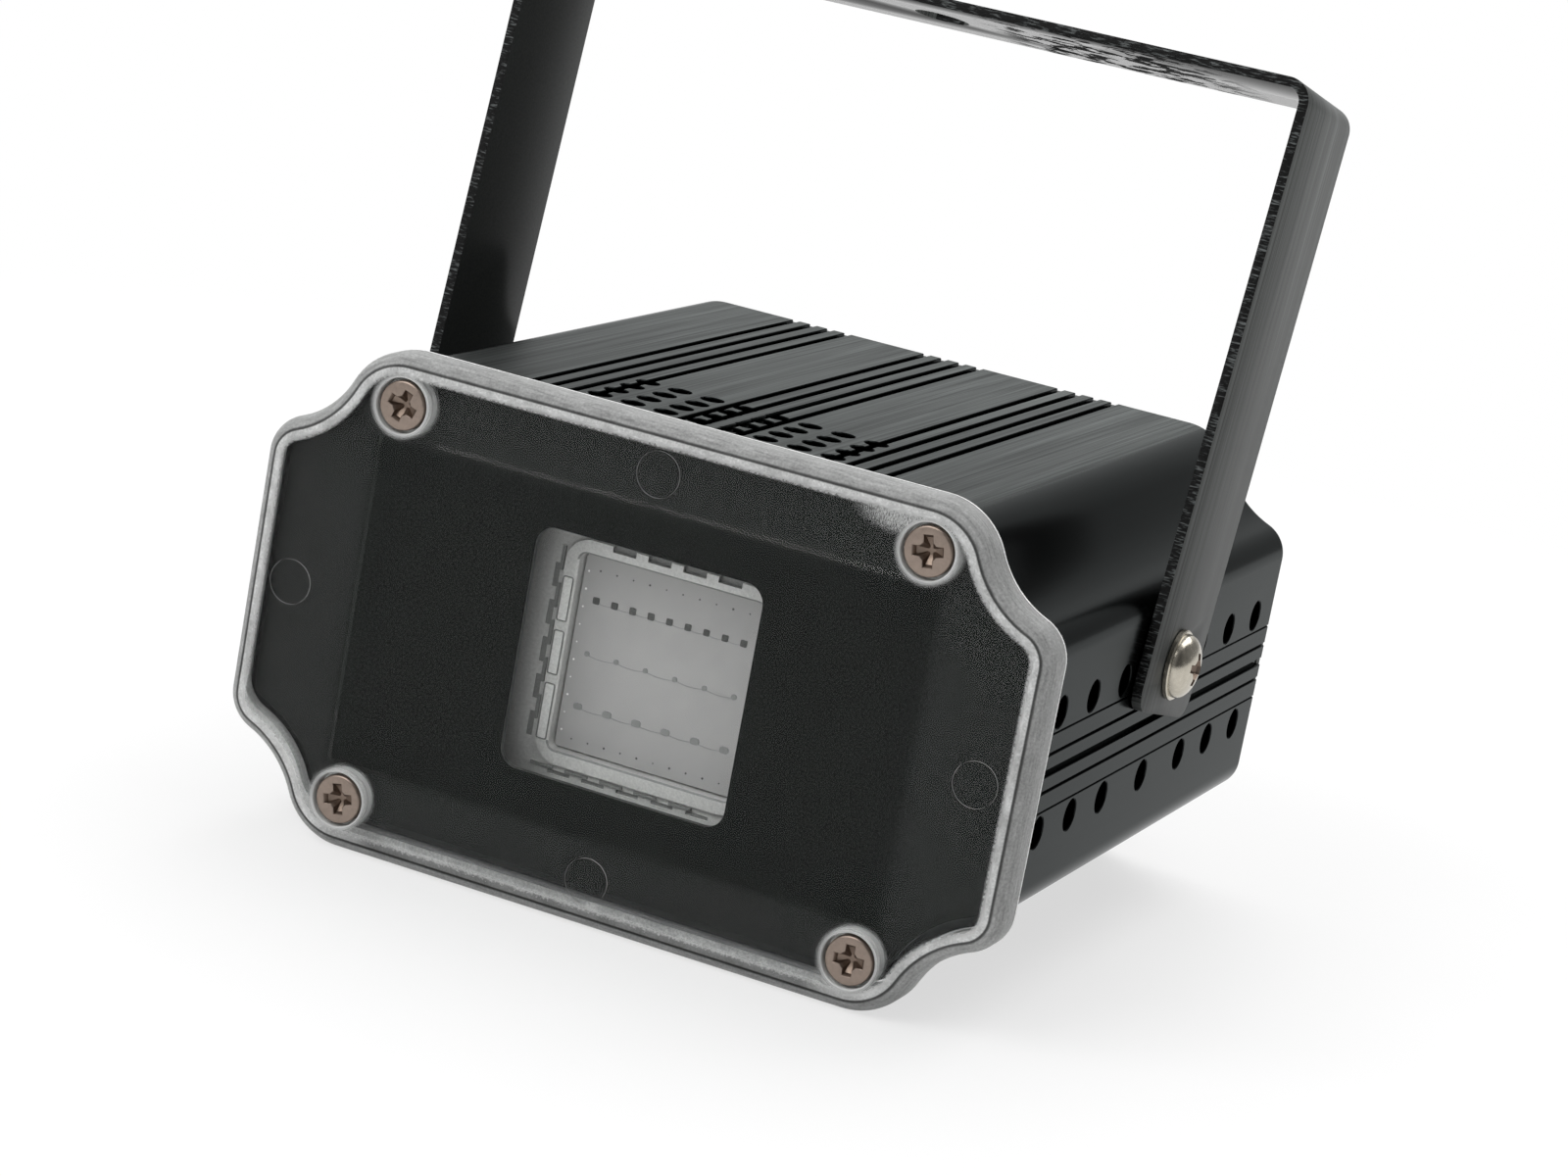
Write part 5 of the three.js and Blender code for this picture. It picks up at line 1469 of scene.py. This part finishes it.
    def moulded_frame(self, sizes):
        """The frame with its raised lip in segments and rows of slots and fingers round it."""
        x, z = middle("led_frame").x, middle("led_pad").z
        side = FRAME_HIGH.x - FRAME_LOW.x
        front, rear = FRAME_LOW.y, FRAME_HIGH.y
        step = front + sizes.lip_rise
        plate = prism("module_frame", rounded(side, side, sizes.frame_corner, x, z, CORNER_STEPS),
                      step, rear)
        lip = rounded(sizes.lip, sizes.lip, sizes.lip_corner, x, z, steps=10)
        combine(plate, prism("Lip", lip, front, step + OVERRUN / 4), "UNION")
        wide = sizes.opening + 2 * sizes.lip_edge
        rim, corner = sizes.rim_corner, sizes.opening_corner
        combine(plate, lofted("Opening", [
            at(y, rounded(size, size, radius, x, z, CORNER_STEPS)) for size, radius, y in (
                (wide + OVERRUN, rim + OVERRUN / 2, front - OVERRUN / 2), (wide, rim, front),
                (sizes.opening, corner, front + sizes.lip_edge),
                (sizes.opening, corner, rear + OVERRUN))]))
        reach = sizes.lip / 2
        self.cut_panels(sizes, plate, (x, z), front, reach - sizes.panel_inset)
        row = reach + sizes.slot_from_lip
        # Each side's quarter turn, shift along the side, slots, slot width over its usual
        # width, and how much nearer the slots lie. Only the top has no fingers
        top = 3
        for quarter, shift, number, wider, nearer in (
                (0, -0.67 * MM, sizes.slots, 1.0, 0), (1, 1.1 * MM, sizes.slots, 0.7, 0),
                (2, 0.67 * MM, sizes.slots, 1.0, 0),
                (top, 0.4 * MM, sizes.slots - 1, 2.2, sizes.top_slot_inset)):
            angle = quarter * math.pi / 2
            places = []
            for i in range(number):
                u, w = nearer - row, (i - (number - 1) / 2) * sizes.slot_pitch + shift
                places.append((x + u * math.cos(angle) - w * math.sin(angle), step,
                               z + u * math.sin(angle) + w * math.cos(angle)))
            turns = [-angle] * number
            outline = rounded(sizes.slot_width * wider, sizes.slot_length, sizes.slot_corner)
            slot = prism("Slot", outline, -OVERRUN, sizes.slot_depth)
            combine(plate, repeated("Slots", slot, places, turns=turns, smallest=0.94,
                                    seed=quarter))
            if quarter == top:
                continue
            outline = rounded(sizes.finger_width, sizes.slot_length, sizes.slot_corner,
                              sizes.finger_out, sizes.finger_along)
            finger = prism("Finger", outline, -sizes.finger_rise, sizes.finger_sunk)
            combine(plate, repeated("Fingers", finger, places, turns=turns, smallest=0.97,
                                    seed=quarter), "UNION")
        return plate

    def cut_panels(self, sizes, plate, centre, front, away):
        """Cuts the line round each panel in the lip's two upright sides."""
        line = sizes.panel_line
        cutters = []
        for sign in (-1, 1):
            for low, high in LIP_PANELS:
                rings = []
                for grow, y in ((0, front - OVERRUN), (0, front + line), (line, front + line),
                                (line, front - OVERRUN)):
                    outline = rounded(sizes.panel_width + 2 * grow, (high - low) * MM + 2 * grow,
                                      sizes.panel_corner + grow, centre[0] + sign * away,
                                      centre[1] + (low + high) / 2 * MM)
                    rings.append(at(y, outline))
                cutters.append(lofted("Panel outline", rings, closed=True))
        combine(plate, joined("Panel outlines", cutters))


class STROBE_OT_inner_parts(bpy.types.Operator):
    """Gives the parts inside and behind their finishes"""
    bl_idname = "strobe.inner_parts"
    bl_label = "Inner and rear parts"

    def execute(self, context):
        colours = context.scene.strobe_finishes
        # Each finish's colour, roughness, metal and pieces
        for name, code, roughness, metallic, nodes in (
                # Rolled copper: warm, with a satin shine
                ("Copper plate", linear("#b98a5f"), 0.35, 1.0,
                 ["led_base", "led_tab_left", "led_tab_right"]),
                # Aluminium as the mill left it: pale grey, with a dull shine
                ("Milled aluminium", linear("#a9acae"), 0.42, 1.0,
                 ["heat_sink", "speed_control", "speed_shaft"]),
                # Lacquer printed over a circuit board: thin, green and satin
                ("Solder mask", linear("#1d4a30"), 0.4, 0.0, ["driver_board"]),
                # Vinyl sleeve shrunk on a can: dark blue and smooth
                ("Shrunk sleeve", linear("#1c2230"), 0.35, 0.0, ["capacitor_1", "capacitor_2"]),
                # Ferrite pressed and fired: dark grey and matt
                ("Sintered ferrite", linear("#3b3c3e"), 0.7, 0.0, ["choke"]),
                # Epoxy moulded round a chip: near black, with a dull grain
                ("Moulded epoxy", linear("#18191a"), 0.5, 0.0,
                 ["transistor_red", "transistor_green", "transistor_blue", "controller_chip"]),
                # Turned steel, plated with nickel: warm grey and shiny
                ("Nickel nuts", linear("#b3a798"), 0.25, 1.0,
                 ["power_pin", "power_nut", "speed_nut", "pivot_nut_left", "pivot_nut_right"]),
                # Nylon from a finely etched mould: black, between matt and satin
                ("Moulded nylon", tuple(colours.knob), 0.42, 0.0, ["speed_knob", "power_socket"])):
            material = plain(name, code, roughness, metallic)
            for node in nodes:
                dress(frame["nodes"][node], material)
        dress(frame["nodes"]["rear_panel"], finish_named("Vinyl sheet", vinyl_sheet, colours))
        return {"FINISHED"}


# The studio: half the floor's width and its thickness, the lamps and what they point at
FLOOR_REACH = 6.0
FLOOR_DEPTH = 0.02
LAMP_AIM = (0, 0, 0.03)
# Name, place, size in metres and power in watts
LAMPS = (("Key", (-0.5, -0.9, 0.9), 0.9, 9.0), ("Top", (0.1, 0.5, 1.1), 1.2, 12.0))
# The camera's place in metres and turn in degrees
CAMERA_PLACE = (0.19648, -0.50410, 0.16297)
CAMERA_TURN = (76.2593, -10.2725, 24.1612)
LENS_MM = 100.44
SENSOR_MM = 36


class STROBE_OT_stage(bpy.types.Operator):
    """Sets the floor, the soft light and the camera"""
    bl_idname = "strobe.stage"
    bl_label = "Stage"

    def execute(self, context):
        scene = context.scene
        scene.view_settings.view_transform = "Standard"
        far = FLOOR_REACH
        floor = lofted("Floor", [[(-far, -far, z), (far, -far, z), (far, far, z), (-far, far, z)]
                                 for z in (-FLOOR_DEPTH, 0.0)])
        floor.data.materials.append(floor_paint(scene.strobe_finishes))
        world_light(scene)
        for name, place, size, power in LAMPS:
            lamp = bpy.data.lights.new(name, "AREA")
            lamp.size = size
            lamp.energy = power
            holder = new_object(name, lamp)
            holder.location = place
            aim = Vector(LAMP_AIM) - Vector(place)
            holder.rotation_euler = aim.to_track_quat("-Z", "Y").to_euler()
        lens = bpy.data.cameras.new("Camera")
        lens.lens = LENS_MM
        lens.sensor_width = SENSOR_MM
        lens.clip_end = 50
        camera = new_object("Camera", lens)
        camera.location = CAMERA_PLACE
        camera.rotation_euler = [math.radians(angle) for angle in CAMERA_TURN]
        scene.camera = camera
        return {"FINISHED"}


def floor_paint(colours):
    # Matt white studio floor. Part of it glows for the camera and for gloss, so it stays white
    # to the horizon and still takes the object's shadow.
    material = bpy.data.materials.new("Studio floor")
    material.use_nodes = True
    tree = material.node_tree
    tree.nodes.clear()
    paint = add_node(tree, "ShaderNodeBsdfDiffuse", {"Color": tuple(colours.floor)})
    rays = add_node(tree, "ShaderNodeLightPath")
    seen = add_node(tree, GREATEST, {}, {0: (rays, "Is Camera Ray"), 1: (rays, "Is Glossy Ray")})
    seen = add_node(tree, GREATEST, {}, {0: seen, 1: (rays, "Is Transmission Ray")})
    glow = add_node(tree, "ShaderNodeEmission", {"Color": (1, 1, 1, 1)}, {"Strength": seen})
    place = add_node(tree, COORDINATES)
    away = add_node(tree, LENGTH, {}, {0: (place, "Object")})
    # The glow grows with the distance from the object, in metres
    away = add_node(tree, RANGE, spread(0.66, 1, 0.12, 0.32), {"Value": (away, "Value")})
    share = add_node(tree, TIMES, {}, {0: away, 1: seen})
    mix = add_node(tree, "ShaderNodeMixShader", {}, {0: share, 1: paint, 2: glow})
    add_node(tree, "ShaderNodeOutputMaterial", {}, {"Surface": mix})
    return material


def world_light(scene):
    """A white backdrop behind the object, and a dimmer studio to its right and in front."""
    world = bpy.data.worlds.new("Studio")
    world.use_nodes = True
    scene.world = world
    tree = world.node_tree
    tree.nodes.clear()
    place = add_node(tree, COORDINATES)
    axes = add_node(tree, AXES, {}, {"Vector": (place, "Generated")})
    behind = add_node(tree, RANGE, spread(0.35, 1, -0.6, 0.8), {"Value": (axes, "Y")})
    leftward = add_node(tree, RANGE, spread(1, 0.3, -0.25, 0.45), {"Value": (axes, "X")})
    fade = add_node(tree, TIMES, {}, {0: behind, 1: leftward})
    # Straight and through the clear cover, the backdrop is seen at its full white
    rays = add_node(tree, "ShaderNodeLightPath")
    seen = add_node(tree, GREATEST, {},
                    {0: (rays, "Is Camera Ray"), 1: (rays, "Is Transmission Ray")})
    strength = add_node(tree, GREATEST, {}, {0: fade, 1: seen})
    sky = add_node(tree, "ShaderNodeBackground", {"Color": (1, 1, 1, 1)}, {"Strength": strength})
    add_node(tree, "ShaderNodeOutputWorld", {}, {"Surface": sky})


STEPS = (STROBE_OT_housing, STROBE_OT_mask, STROBE_OT_cover, STROBE_OT_screws, STROBE_OT_pivots,
         STROBE_OT_bracket, STROBE_OT_light_module, STROBE_OT_inner_parts, STROBE_OT_stage)


class STROBE_PT_panel(bpy.types.Panel):
    """Lists the strobe light's operators"""
    bl_label = "Compact strobe light"
    bl_idname = "STROBE_PT_panel"
    bl_space_type = "VIEW_3D"
    bl_region_type = "UI"
    bl_category = "Strobe"

    def draw(self, context):
        for step in STEPS:
            self.layout.operator(step.bl_idname)


GROUPS = {
    "strobe_housing": StrobeHousingSizes,
    "strobe_cover": StrobeCoverSizes,
    "strobe_module": StrobeModuleSizes,
    "strobe_bracket": StrobeBracketSizes,
    "strobe_screws": StrobeScrewSizes,
    "strobe_finishes": StrobeFinishes,
}


def register():
    for kind in (*GROUPS.values(), *STEPS, STROBE_PT_panel):
        bpy.utils.register_class(kind)
    for name, kind in GROUPS.items():
        setattr(bpy.types.Scene, name, PointerProperty(type=kind))


def unregister():
    for name in GROUPS:
        delattr(bpy.types.Scene, name)
    for kind in reversed((*GROUPS.values(), *STEPS, STROBE_PT_panel)):
        bpy.utils.unregister_class(kind)


def main():
    register()
    bpy.ops.strobe.housing()
    bpy.ops.strobe.mask()
    bpy.ops.strobe.cover()
    bpy.ops.strobe.screws()
    bpy.ops.strobe.pivots()
    bpy.ops.strobe.bracket()
    bpy.ops.strobe.light_module()
    bpy.ops.strobe.inner_parts()
    bpy.ops.strobe.stage()


if __name__ == "__main__":
    main()
